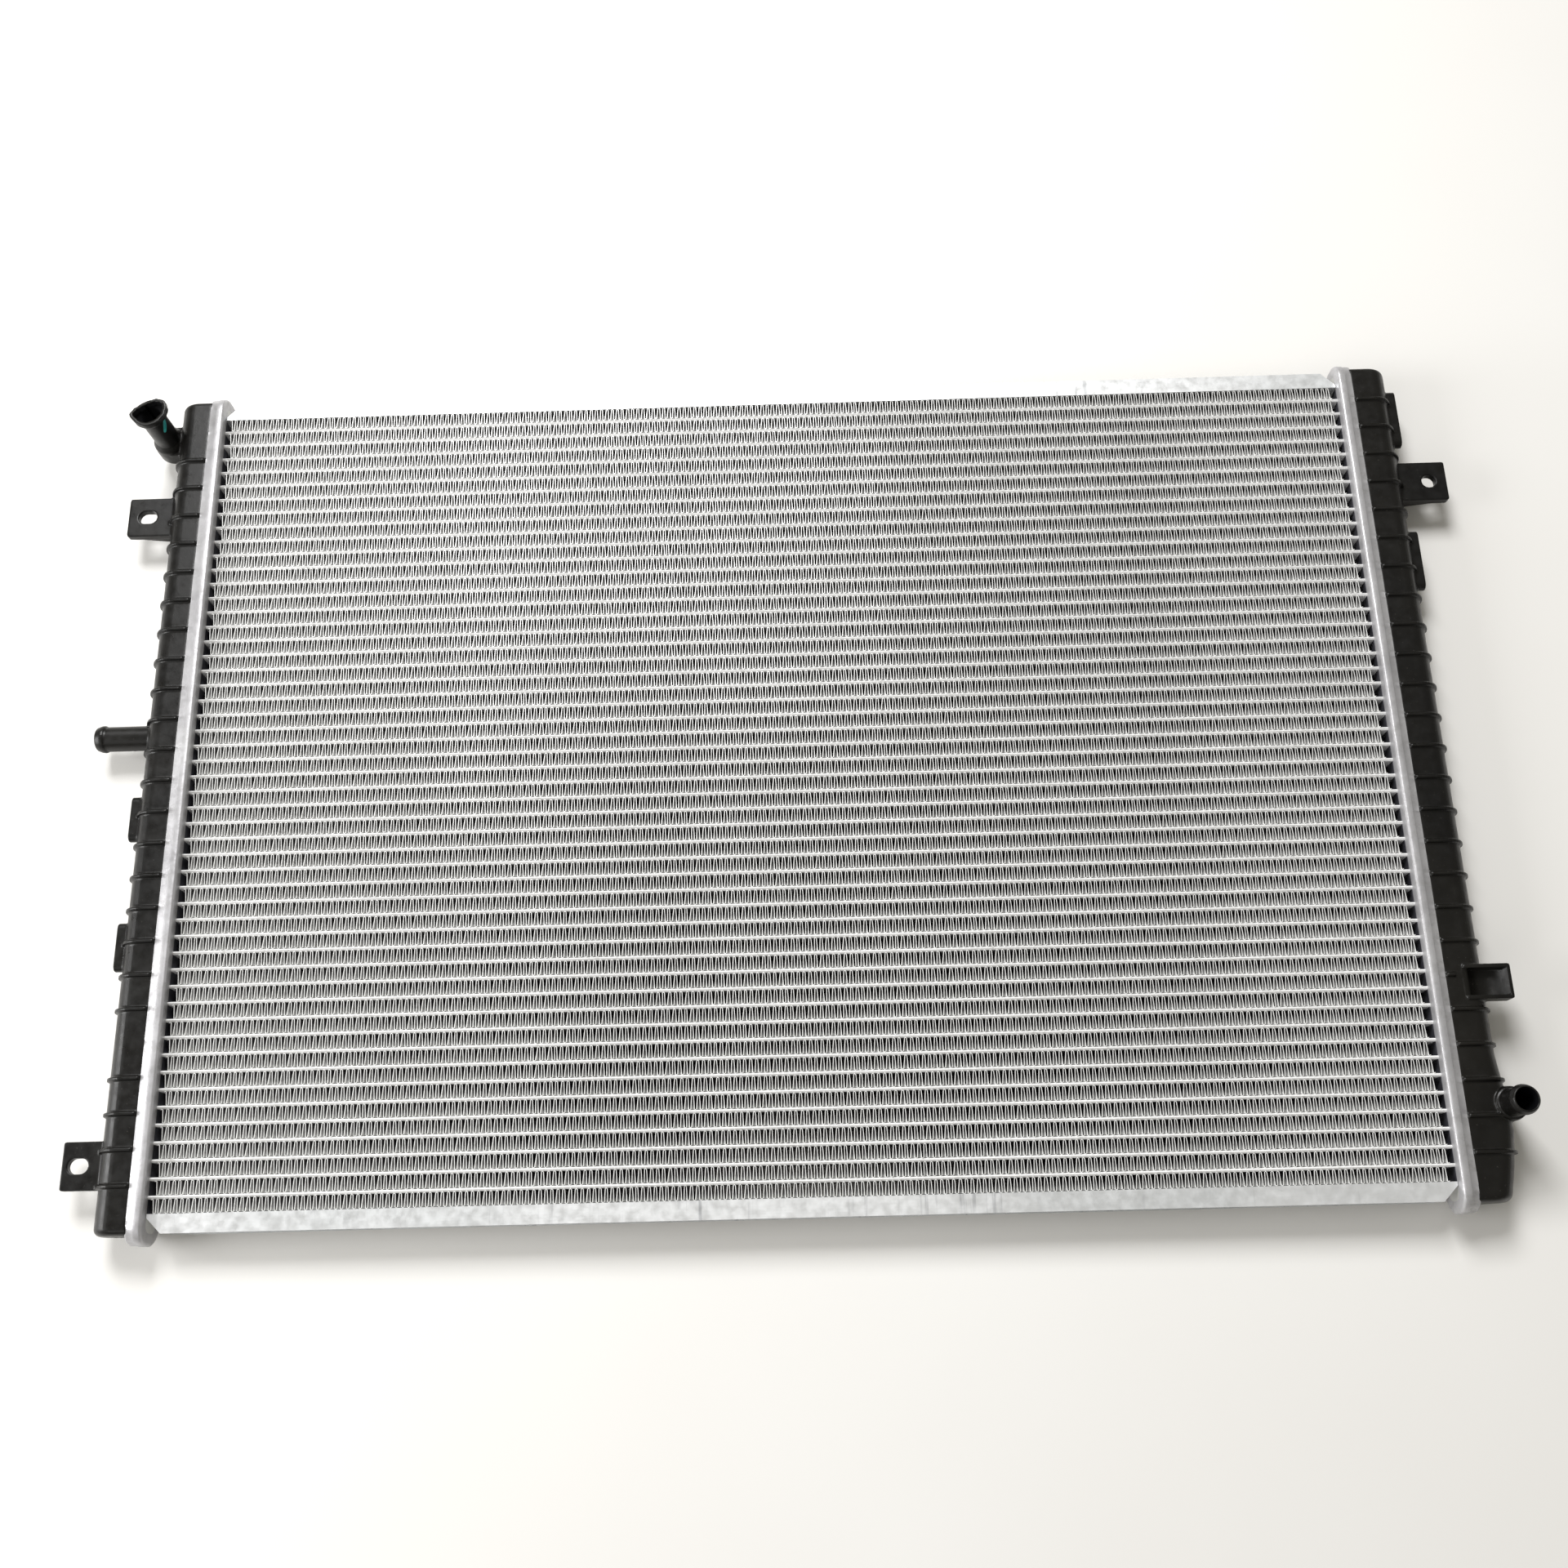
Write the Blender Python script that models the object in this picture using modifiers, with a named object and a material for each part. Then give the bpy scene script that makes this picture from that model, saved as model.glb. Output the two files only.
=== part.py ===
"""Cross-flow car radiator: a brazed aluminium core between two crimped-on plastic end tanks.

It lies on its back. X runs along the tubes, Y across them, Z out of the core's front face.
Every piece is placed from the centre of the core, which the frame empty marks.
On each side, "reach" is the distance outward from the inner face of that side's header,
and "stand" the distance beyond the outer wall of that side's tank.
"""
import math

import bmesh
import bpy
from mathutils import Matrix

MM = 0.001

# Core
TUBE_COUNT = 50
TUBE_WIDTH = 16.0 * MM
TUBE_THICKNESS = 1.8 * MM
TUBE_WALL = 0.4 * MM
TUBE_PAST_HEADER = 2.0 * MM
FIN_HEIGHT = 8.0 * MM
HEADER_SPAN = 718.4 * MM

# Header plates, pans that the tanks are crimped into
HEADER_PAST_TUBES = 6.0 * MM
HEADER_PAST_CORE = 17.0 * MM
HEADER_SHEET = 1.2 * MM
HEADER_END_FLAT = 4.0 * MM
CRIMP_LIP = 1.5 * MM

# Side plates, channels that close the core above and below
SIDE_PLATE_SHEET = 1.2 * MM
SIDE_PLATE_FLANGE = 10.5 * MM
SIDE_PLATE_CHAMFER = 8.5 * MM

# Seals
GASKET_THICKNESS = 2.4 * MM
GASKET_WIDTH = 3.0 * MM

# End tanks
TANK_WALL = 2.5 * MM
TANK_FOOT = 4.0 * MM
TANK_END_INSET = 5.5 * MM
TANK_BODY_SET_BACK = 0.5 * MM
TANK_BODY_CORNER = 8.0 * MM
TANK_NOSE = 11.0 * MM
TANK_END_ROUND = 5.0 * MM
LEFT_TANK_REACH = 30.0 * MM
RIGHT_TANK_REACH = 33.0 * MM
RIGHT_TANK_TAPER = 3.5 * MM
TAPER_LENGTH = 14.5 * MM
RIB_HEIGHT = 1.7 * MM
RIB_THICKNESS = 2.2 * MM
RIB_TUBE_STEP = 2
RIB_PITCH_OFFSET = 0.7 * MM
RIB_OFF_LEFT_FOOT = 5

# Mounting tabs; each is the stand of its tip, the stand of its hole and its distance from a tank end
UPPER_LEFT_TAB = (27.8 * MM, 15.6 * MM, 78.5 * MM)
LOWER_LEFT_TAB = (21.6 * MM, 12.6 * MM, 38.5 * MM)
RIGHT_TAB = (29.0 * MM, 17.8 * MM, 79.1 * MM)
TAB_Z = 2.0 * MM
TAB_THICKNESS = 5.0 * MM
TAB_HEIGHT = 26.8 * MM
TAB_SLOT_WIDTH = 8.8 * MM
TAB_SLOT_LENGTH = 11.8 * MM
TAB_ROOT_THICKNESS = 11.5 * MM
TAB_ROOT_WEB = 2.5 * MM
TAB_CORNER = 1.5 * MM

# Lugs on the tanks' outer sides; each is its length and its distance from the tank's top end
LEFT_LUGS = ((28.0 * MM, 280.5 * MM), (29.0 * MM, 358.5 * MM))
RIGHT_LUGS = ((40.0 * MM, 34.1 * MM), (40.0 * MM, 134.1 * MM))
LUG_Z = 3.0 * MM
LUG_STAND = 4.6 * MM
LUG_THICKNESS = 7.0 * MM

# Hose stubs
STUB_RADIUS = 7.6 * MM
STUB_BORE_RADIUS = 5.8 * MM
BARB_RADIUS = 8.3 * MM
BARB_NOSE = 3.5 * MM
BARB_CHAMFER = 2.4 * MM
BARB_LAND = 2.0 * MM

# Inlet, a boss on the left tank with a shank that rises to a keyed collar
INLET_STAND = 6.5 * MM
INLET_FROM_TOP = 24.1 * MM
INLET_RISE = 26.0 * MM
INLET_SHANK_RADIUS = 8.1 * MM
INLET_WAY_RADIUS = 4.6 * MM
INLET_BOSS_RADIUS = 10.4 * MM
INLET_BOSS_HALF_DEPTH = 9.0 * MM
INLET_BOSS_TAPER = 5.0 * MM
INLET_BRIDGE_HALF_DEPTH = 5.0 * MM
COLLAR_RADIUS = 12.2 * MM
COLLAR_WAIST_RADIUS = 9.2 * MM
COLLAR_THICKNESS = 4.5 * MM
COLLAR_LOBES = (45.0, 180.0, 290.0)
COLLAR_LOBE_SPREAD = 55.0

# Side spigot on the left tank
SIDE_SPIGOT_LENGTH = 32.0 * MM
SIDE_SPIGOT_FROM_TOP = 227.5 * MM

# Outlet spigot, and the belly of the right tank round it as distance from the tank's foot and stand
OUTLET_STAND = 0.8 * MM
OUTLET_FROM_FOOT = 52.2 * MM
OUTLET_RISE = 20.0 * MM
OUTLET_BOSS_RADIUS = 9.0 * MM
OUTLET_BOSS_RISE = 1.5 * MM
OUTLET_BOSS_BOTTOM = -9.0 * MM
BELLY = ((12.0 * MM, -0.6 * MM), (24.5 * MM, 2.0 * MM), (38.5 * MM, 3.9 * MM), (52.5 * MM, 3.7 * MM),
         (66.5 * MM, 1.6 * MM), (79.0 * MM, -0.8 * MM))
BELLY_LIMIT = 5.0 * MM

# Socket bracket
SOCKET_STAND = -1.0 * MM
SOCKET_FROM_FOOT = 120.0 * MM
SOCKET_RISE = 1.0 * MM
SOCKET_WIDTH = 26.5 * MM
SOCKET_HEIGHT = 20.0 * MM
SOCKET_WALL = 2.2 * MM
SOCKET_DEPTH = 7.0 * MM
SOCKET_FLOOR = 2.5 * MM
SOCKET_CORNER = 1.0 * MM
SOCKET_ROOM_CORNER = 0.5 * MM

CLEARANCE = 0.3 * MM
OVERLAP = 1.0 * MM
MERGE_DISTANCE = 0.00001
SHARP_ANGLE = 35.0
ARC_STEPS = 4
SMALL_ARC_STEPS = 2
NOSE_STEPS = 6
OVAL_STEPS = 2
LUG_STEPS = 4
SLOT_STEPS = 6
HOLE_STEPS = 24
TURN_STEPS = 16
LOBED_STEPS = 36

TUBE_PITCH = TUBE_THICKNESS + FIN_HEIGHT
CORE_HALF_HEIGHT = (TUBE_COUNT * TUBE_PITCH + FIN_HEIGHT) / 2
HEADER_HALF_LENGTH = CORE_HALF_HEIGHT + HEADER_PAST_CORE
HEADER_DEPTH = TUBE_WIDTH + 2 * HEADER_PAST_TUBES
HEADER_CORNER = (HEADER_DEPTH - HEADER_END_FLAT) / 2
FOOT_START = HEADER_SHEET + GASKET_THICKNESS + 2 * CLEARANCE
FOOT_END = FOOT_START + TANK_FOOT
HEADER_HEIGHT = FOOT_END + 2 * CLEARANCE + HEADER_SHEET
FOOT_INSET = HEADER_SHEET + CLEARANCE
FOOT_HALF_DEPTH = HEADER_DEPTH / 2 - FOOT_INSET
FOOT_HALF_LENGTH = HEADER_HALF_LENGTH - FOOT_INSET
LIP_INSET = HEADER_SHEET + CRIMP_LIP
NECK_INSET = LIP_INSET + CLEARANCE
BODY_START = HEADER_HEIGHT + CLEARANCE
BODY_HALF_DEPTH = HEADER_DEPTH / 2 - TANK_BODY_SET_BACK
MIDDLE_HEIGHT = max(HEADER_DEPTH / 2, BODY_HALF_DEPTH + RIB_HEIGHT)
TANK_HALF_LENGTH = HEADER_HALF_LENGTH - TANK_END_INSET
RIB_PITCH = RIB_TUBE_STEP * TUBE_PITCH
TOP_RIB_Y = CORE_HALF_HEIGHT - TUBE_PITCH - RIB_THICKNESS - RIB_PITCH_OFFSET
RIB_COUNT = TUBE_COUNT // RIB_TUBE_STEP
INLET_TOP = BODY_HALF_DEPTH + INLET_RISE
OUTLET_TOP = BODY_HALF_DEPTH + OUTLET_RISE
OUTLET_BOSS_TOP = BODY_HALF_DEPTH + OUTLET_BOSS_RISE
SOCKET_FRONT = BODY_HALF_DEPTH + SOCKET_RISE

ALONG_Z = Matrix.Identity(4)
ALONG_Y = Matrix(((1, 0, 0, 0), (0, 0, -1, 0), (0, 1, 0, 0), (0, 0, 0, 1)))
ALONG_X = Matrix(((0, 0, 1, 0), (1, 0, 0, 0), (0, 1, 0, 0), (0, 0, 0, 1)))
TOWARDS_LEFT = Matrix.Rotation(math.radians(-90), 4, "Y")
TOWARDS_RIGHT = Matrix.Rotation(math.radians(90), 4, "Y")


def clear_scene():
    for old in list(bpy.data.objects):
        bpy.data.objects.remove(old)


def make_collection(name, parent=None):
    collection = bpy.data.collections.new(name)
    (parent or bpy.context.scene.collection).children.link(collection)
    return collection


def make_material(name, colour, roughness, metallic):
    material = bpy.data.materials.new(name)
    material.use_nodes = True
    shader = material.node_tree.nodes["Principled BSDF"]
    shader.inputs["Base Color"].default_value = (*colour, 1.0)
    shader.inputs["Roughness"].default_value = roughness
    shader.inputs["Metallic"].default_value = metallic
    return material


def arc(centre, radius_x, radius_y, start, end, steps=ARC_STEPS):
    """Points along an elliptical arc, angles in degrees."""
    points = []
    for i in range(steps + 1):
        angle = math.radians(start + (end - start) * i / steps)
        points.append((centre[0] + radius_x * math.cos(angle), centre[1] + radius_y * math.sin(angle)))
    return points


def rounded_rectangle(half_x, half_y, radius, centre=(0.0, 0.0), steps=ARC_STEPS):
    points = []
    corners = ((1, 1, 0), (-1, 1, 90), (-1, -1, 180), (1, -1, 270))
    for side_x, side_y, start in corners:
        middle = (centre[0] + side_x * (half_x - radius), centre[1] + side_y * (half_y - radius))
        points += arc(middle, radius, radius, start, start + 90, steps)
    return points


def flat_oval(length, width, centre=(0.0, 0.0), steps=OVAL_STEPS, upright=False):
    """A slot outline: two half circles joined by straight sides."""
    radius = width / 2
    straight = length / 2 - radius
    points = arc((straight, 0), radius, radius, -90, 90, steps)
    points += arc((-straight, 0), radius, radius, 90, 270, steps)
    if upright:
        points = [(-y, x) for x, y in points]
    return [(centre[0] + x, centre[1] + y) for x, y in points]


def circle(radius, centre, steps=HOLE_STEPS):
    return arc(centre, radius, radius, 0, 360 - 360 / steps, steps - 1)


def lobed_outline(waist_radius, lobe_radius, directions, spread, steps=LOBED_STEPS):
    """A round outline that swells into a lobe in each direction, in degrees."""
    points = []
    for i in range(steps):
        angle = 360.0 * i / steps
        radius = waist_radius
        for direction in directions:
            away = abs((angle - direction + 180.0) % 360.0 - 180.0)
            if away < spread:
                radius += (lobe_radius - waist_radius) * (1 + math.cos(math.pi * away / spread)) / 2
        points.append((radius * math.cos(math.radians(angle)), radius * math.sin(math.radians(angle))))
    return points


def solid_from_outlines(name, outlines, thickness, facing=ALONG_Z, place=(0, 0, 0)):
    """Extrude flat outlines, the first the rim and the rest holes, centred on place."""
    curve = bpy.data.curves.new(name, "CURVE")
    curve.dimensions = "2D"
    curve.fill_mode = "BOTH"
    curve.extrude = thickness / 2
    for outline in outlines:
        spline = curve.splines.new("POLY")
        spline.points.add(len(outline) - 1)
        for point, (x, y) in zip(spline.points, outline):
            point.co = (x, y, 0, 1)
        spline.use_cyclic_u = True
    drawn = bpy.data.objects.new(name + "_outline", curve)
    bpy.context.scene.collection.objects.link(drawn)
    bpy.context.view_layer.update()
    evaluated = drawn.evaluated_get(bpy.context.evaluated_depsgraph_get())
    mesh = bpy.data.meshes.new_from_object(evaluated)
    bpy.data.objects.remove(drawn)
    mesh.name = name
    shape = bmesh.new()
    shape.from_mesh(mesh)
    bmesh.ops.remove_doubles(shape, verts=shape.verts, dist=MERGE_DISTANCE)
    bmesh.ops.recalc_face_normals(shape, faces=shape.faces)
    shape.to_mesh(mesh)
    shape.free()
    solid = bpy.data.objects.new(name, mesh)
    solid.matrix_world = Matrix.Translation(place) @ facing
    return solid


def turned_solid(name, profile, axis_facing=ALONG_Z, place=(0, 0, 0), steps=TURN_STEPS):
    """Turn a profile of (radius, height) points, listed from the top down, round local Z."""
    mesh = bpy.data.meshes.new(name)
    shape = bmesh.new()
    verts = [shape.verts.new((radius, 0, height)) for radius, height in profile]
    for upper, lower in zip(verts, verts[1:]):
        shape.edges.new((upper, lower))
    shape.to_mesh(mesh)
    shape.free()
    solid = bpy.data.objects.new(name, mesh)
    solid.matrix_world = Matrix.Translation(place) @ axis_facing
    screw = solid.modifiers.new("turn", "SCREW")
    screw.steps = steps
    screw.render_steps = steps
    screw.use_merge_vertices = True
    screw.merge_threshold = MERGE_DISTANCE
    return solid


class Assembly:
    """The frame empty, the collections and the materials that every piece shares."""

    def __init__(self):
        self.pieces = make_collection("car_radiator")
        self.cutters = make_collection("cutters")
        self.frame = bpy.data.objects.new("frame", None)
        self.frame.location = (0, 0, MIDDLE_HEIGHT)
        self.pieces.objects.link(self.frame)
        self.combinations = []
        self.aluminium = make_material("aluminium", (0.83, 0.83, 0.82), 0.38, 1.0)
        self.tube_aluminium = make_material("tube_aluminium", (0.78, 0.78, 0.77), 0.45, 1.0)
        self.black_plastic = make_material("black_plastic", (0.022, 0.022, 0.024), 0.42, 0.0)
        self.seal_rubber = make_material("seal_rubber", (0.03, 0.03, 0.03), 0.85, 0.0)

    def add(self, piece, material):
        piece.parent = self.frame
        piece.data.materials.clear()
        piece.data.materials.append(material)
        self.pieces.objects.link(piece)
        return piece

    def combine(self, target, tools, operation):
        """Ask for the tools to be joined to the target, cut out of it or intersected with it."""
        self.combinations.append((target, tools, operation))

    def finish(self):
        """Set up the Booleans last, so that drawing an outline never works them out again."""
        for target, tools, operation in self.combinations:
            group = make_collection(target.name + "_" + operation.lower(), self.cutters)
            for tool in tools:
                group.objects.link(tool)
                tool.parent = self.frame
                tool.hide_render = True
                tool.display_type = "WIRE"
            boolean = target.modifiers.new(operation.lower(), "BOOLEAN")
            boolean.operation = operation
            boolean.operand_type = "COLLECTION"
            boolean.collection = group
            boolean.solver = "EXACT"


def smooth_round_faces(piece):
    piece.data.shade_smooth()
    piece.data.set_sharp_from_angle(angle=math.radians(SHARP_ANGLE))


def tube_y(index):
    return CORE_HALF_HEIGHT - FIN_HEIGHT - TUBE_THICKNESS / 2 - index * TUBE_PITCH


def outward(side, reach):
    """X of a plane at this reach; side is -1 on the left and 1 on the right."""
    return side * (HEADER_SPAN / 2 + reach)


def from_top(distance):
    """Y of a feature this far below the tanks' top ends."""
    return TANK_HALF_LENGTH - distance


def from_foot(distance):
    """Y of a feature this far above the tanks' lower ends."""
    return distance - TANK_HALF_LENGTH


# Core

def make_tubes(assembly):
    outer = flat_oval(TUBE_WIDTH, TUBE_THICKNESS, upright=True)
    inner = flat_oval(TUBE_WIDTH - 2 * TUBE_WALL, TUBE_THICKNESS - 2 * TUBE_WALL, upright=True)
    length = HEADER_SPAN + 2 * (HEADER_SHEET + TUBE_PAST_HEADER)
    for index in range(TUBE_COUNT):
        place = (0, tube_y(index), 0)
        tube = solid_from_outlines(f"tube_{index + 1:02d}", (outer, inner), length, ALONG_X, place)
        smooth_round_faces(tube)
        assembly.add(tube, assembly.tube_aluminium)


def make_side_plate(assembly, name, side):
    """A channel with its flanges pointing away from the core and their ends chamfered."""
    length = HEADER_SPAN - 2 * CLEARANCE
    base = side * CORE_HALF_HEIGHT
    tip = base + side * SIDE_PLATE_FLANGE
    floor = base + side * SIDE_PLATE_SHEET
    half = TUBE_WIDTH / 2
    inside = half - SIDE_PLATE_SHEET
    section = ((base, -half), (base, half), (tip, half), (tip, inside),
               (floor, inside), (floor, -inside), (tip, -inside), (tip, -half))
    plate = solid_from_outlines(name, (section,), length, ALONG_X)
    chamfers = []
    for end in (-1, 1):
        corner_x = end * (length / 2 + OVERLAP)
        corner_y = tip + side * OVERLAP
        cut = SIDE_PLATE_CHAMFER + 2 * OVERLAP
        outline = ((corner_x, corner_y), (corner_x - end * cut, corner_y), (corner_x, corner_y - side * cut))
        chamfers.append(solid_from_outlines(f"{name}_chamfer", (outline,), 2 * TUBE_WIDTH))
    assembly.add(plate, assembly.aluminium)
    assembly.combine(plate, chamfers, "DIFFERENCE")


# Headers and seals

def make_header(assembly, name, side):
    """A pan with a slot for each tube, and a rim whose edge is crimped inward over the foot."""
    outer = rounded_rectangle(HEADER_HALF_LENGTH, HEADER_DEPTH / 2, HEADER_CORNER)
    slots = [flat_oval(TUBE_WIDTH + 2 * CLEARANCE, TUBE_THICKNESS + 2 * CLEARANCE,
                       (tube_y(index), 0), upright=True) for index in range(TUBE_COUNT)]
    place = (outward(side, HEADER_SHEET / 2), 0, 0)
    plate = solid_from_outlines(name, [outer] + slots, HEADER_SHEET, ALONG_X, place)

    def ring(label, inset, start, end):
        hole = rounded_rectangle(HEADER_HALF_LENGTH - inset, HEADER_DEPTH / 2 - inset, HEADER_CORNER - inset)
        middle = (outward(side, (start + end) / 2), 0, 0)
        return solid_from_outlines(f"{name}_{label}", (outer, hole), end - start, ALONG_X, middle)

    rim = ring("rim", HEADER_SHEET, HEADER_SHEET / 2, HEADER_HEIGHT - HEADER_SHEET / 2)
    lip = ring("lip", LIP_INSET, HEADER_HEIGHT - HEADER_SHEET, HEADER_HEIGHT)
    assembly.add(plate, assembly.aluminium)
    assembly.combine(plate, (rim, lip), "UNION")


def make_gasket(assembly, name, side):
    """The flat seal between a header's floor and its tank's foot."""
    outer = rounded_rectangle(FOOT_HALF_LENGTH, FOOT_HALF_DEPTH, HEADER_CORNER - FOOT_INSET)
    inner = rounded_rectangle(FOOT_HALF_LENGTH - GASKET_WIDTH, FOOT_HALF_DEPTH - GASKET_WIDTH,
                              HEADER_CORNER - FOOT_INSET - GASKET_WIDTH)
    place = (outward(side, HEADER_SHEET + CLEARANCE + GASKET_THICKNESS / 2), 0, 0)
    gasket = solid_from_outlines(name, (outer, inner), GASKET_THICKNESS, ALONG_X, place)
    smooth_round_faces(gasket)
    assembly.add(gasket, assembly.seal_rubber)


# End tanks

def tank_section(side, start, end, half_depth, nose):
    """The tank's section in X and Z: flat front and back, and a half-round outer side."""
    nose_start = end - nose
    points = [(outward(side, start), half_depth), (outward(side, start), -half_depth)]
    for reach, z in arc((nose_start, 0), nose, half_depth, -90, 90, NOSE_STEPS):
        points.append((outward(side, reach), z))
    return points


def tank_plan(side, reach, inset, taper):
    """The tank's outline seen from the front, its lower outer corner drawn in by the taper."""
    outer = reach - inset
    half_length = TANK_HALF_LENGTH - inset
    radius = TANK_END_ROUND - inset / 2
    points = arc((outer - radius, half_length - radius), radius, radius, 0, 90)
    points += [(0, half_length), (0, -half_length)]
    points += arc((outer - taper - radius, radius - half_length), radius, radius, -90, 0)
    points.append((outer, TAPER_LENGTH - half_length))
    return [(outward(side, x), y) for x, y in points]


def tank_form(assembly, name, side, reach, inset, taper):
    """One section drawn out along the tank, its ends rounded in plan and in side view."""
    half_depth = BODY_HALF_DEPTH - inset
    half_length = TANK_HALF_LENGTH - inset
    section = tank_section(side, BODY_START + inset, reach - inset, half_depth, TANK_NOSE - inset)
    form = solid_from_outlines(name, (section,), 2 * half_length + OVERLAP, ALONG_Y)
    end_view = rounded_rectangle(half_length, half_depth + CLEARANCE, TANK_BODY_CORNER - inset)
    end_view_solid = solid_from_outlines(name + "_end_view", (end_view,), 4 * reach, ALONG_X,
                                         (outward(side, 0), 0, 0))
    plan = tank_plan(side, reach, inset, taper)
    plan_solid = solid_from_outlines(name + "_plan", (plan,), 2 * HEADER_DEPTH)
    assembly.combine(form, (end_view_solid, plan_solid), "INTERSECT")
    return form


def foot_slab(name, side, inset, start, end):
    """A slab of the header's outline, drawn in by an inset, between two reaches."""
    outline = rounded_rectangle(HEADER_HALF_LENGTH - inset, HEADER_DEPTH / 2 - inset, HEADER_CORNER - inset)
    place = (outward(side, (start + end) / 2), 0, 0)
    return solid_from_outlines(name, (outline,), end - start, ALONG_X, place)


def rib_y(index):
    return TOP_RIB_Y - index * RIB_PITCH


def tank_ribs(side, hoops):
    """Hoops round the tank; each is its Y and the reach of the wall it stands on."""
    ribs = []
    for y, reach in hoops:
        section = tank_section(side, BODY_START, reach + RIB_HEIGHT, BODY_HALF_DEPTH + RIB_HEIGHT,
                               TANK_NOSE + RIB_HEIGHT)
        ribs.append(solid_from_outlines("rib", (section,), RIB_THICKNESS, ALONG_Y, (0, y, 0)))
    return ribs


def mounting_tab(side, reach, tip_stand, hole_stand, centre_y, hole):
    """A flat ear with a hole, and the deeper web that carries its lower edge."""
    root = outward(side, reach - TANK_WALL / 2)
    tip = outward(side, reach + tip_stand)
    rim = rounded_rectangle(abs(tip - root) / 2, TAB_HEIGHT / 2, TAB_CORNER, ((tip + root) / 2, centre_y),
                            SMALL_ARC_STEPS)
    opening = [(outward(side, reach + hole_stand) + x, centre_y + y) for x, y in hole]
    ear = solid_from_outlines("ear", (rim, opening), TAB_THICKNESS, ALONG_Z, (0, 0, TAB_Z))
    back = -TAB_THICKNESS / 2
    web_end = tip - side * TAB_CORNER
    web_outline = ((root, back + OVERLAP), (root, TAB_THICKNESS / 2 - TAB_ROOT_THICKNESS), (web_end, back),
                   (web_end, back + OVERLAP))
    web_y = centre_y - TAB_HEIGHT / 2 + TAB_ROOT_WEB / 2 + TAB_CORNER / 2
    web = solid_from_outlines("web", (web_outline,), TAB_ROOT_WEB, ALONG_Y, (0, web_y, TAB_Z))
    return [ear, web]


def stub_profile(length, root):
    """A hose spigot from its tip down: chamfered nose, barb ring, plain shank."""
    barb = length - BARB_NOSE
    return ((0, length), (BARB_RADIUS - BARB_CHAMFER, length), (BARB_RADIUS, barb),
            (BARB_RADIUS, barb - BARB_LAND), (STUB_RADIUS, barb - 2 * BARB_LAND), (STUB_RADIUS, -root),
            (0, -root))


def bore_cutter(name, length, facing, place, radius=STUB_BORE_RADIUS):
    profile = ((0, length), (radius, length), (radius, 0), (0, 0))
    return turned_solid(name, profile, facing, place)


def lugs(side, reach, sizes):
    """Long low bars with round ends on the outer side of a tank."""
    root = reach - TANK_WALL / 2
    tip = reach + LUG_STAND
    place = (outward(side, (root + tip) / 2), 0, 0)
    bars = []
    for length, distance in sizes:
        outline = flat_oval(length, LUG_THICKNESS, (from_top(distance), LUG_Z), LUG_STEPS)
        bars.append(solid_from_outlines("lug", (outline,), tip - root, ALONG_X, place))
    return bars


def make_tank(assembly, name, side, reach, taper, hoops, additions, cuts, filled=()):
    """A ribbed half-round trough whose neck and foot sit inside the header's rim."""
    tank = tank_form(assembly, name, side, reach, 0, taper)
    foot = foot_slab(name + "_foot", side, FOOT_INSET, FOOT_START, FOOT_END)
    neck = foot_slab(name + "_neck", side, NECK_INSET, FOOT_END - OVERLAP, BODY_START + OVERLAP)
    hollow = tank_form(assembly, name + "_hollow", side, reach, TANK_WALL, taper)
    if filled:
        assembly.combine(hollow, filled, "DIFFERENCE")
    mouth = foot_slab(name + "_mouth", side, NECK_INSET + TANK_WALL, FOOT_START - OVERLAP,
                      BODY_START + TANK_WALL + OVERLAP)
    assembly.add(tank, assembly.black_plastic)
    assembly.combine(tank, [foot, neck] + tank_ribs(side, hoops) + additions, "UNION")
    assembly.combine(tank, [hollow, mouth] + cuts, "DIFFERENCE")


def left_tank(assembly):
    """Carries the keyed inlet, a plain side spigot, two slotted tabs and two lugs."""
    reach = LEFT_TANK_REACH
    slot = flat_oval(TAB_SLOT_LENGTH, TAB_SLOT_WIDTH, steps=SLOT_STEPS)
    tip, hole_stand, distance = UPPER_LEFT_TAB
    additions = mounting_tab(-1, reach, tip, hole_stand, from_top(distance), slot)
    tip, hole_stand, distance = LOWER_LEFT_TAB
    additions += mounting_tab(-1, reach, tip, hole_stand, from_foot(distance), slot)
    additions += lugs(-1, reach, LEFT_LUGS) + inlet_solids(reach) + side_spigot_solids(reach)
    cuts = inlet_cuts(reach) + side_spigot_cuts(reach)
    left_out = (0, RIB_COUNT - RIB_OFF_LEFT_FOOT)
    hoops = [(rib_y(index), reach) for index in range(RIB_COUNT) if index not in left_out]
    make_tank(assembly, "left_tank", -1, reach, 0, hoops, additions, cuts)


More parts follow.
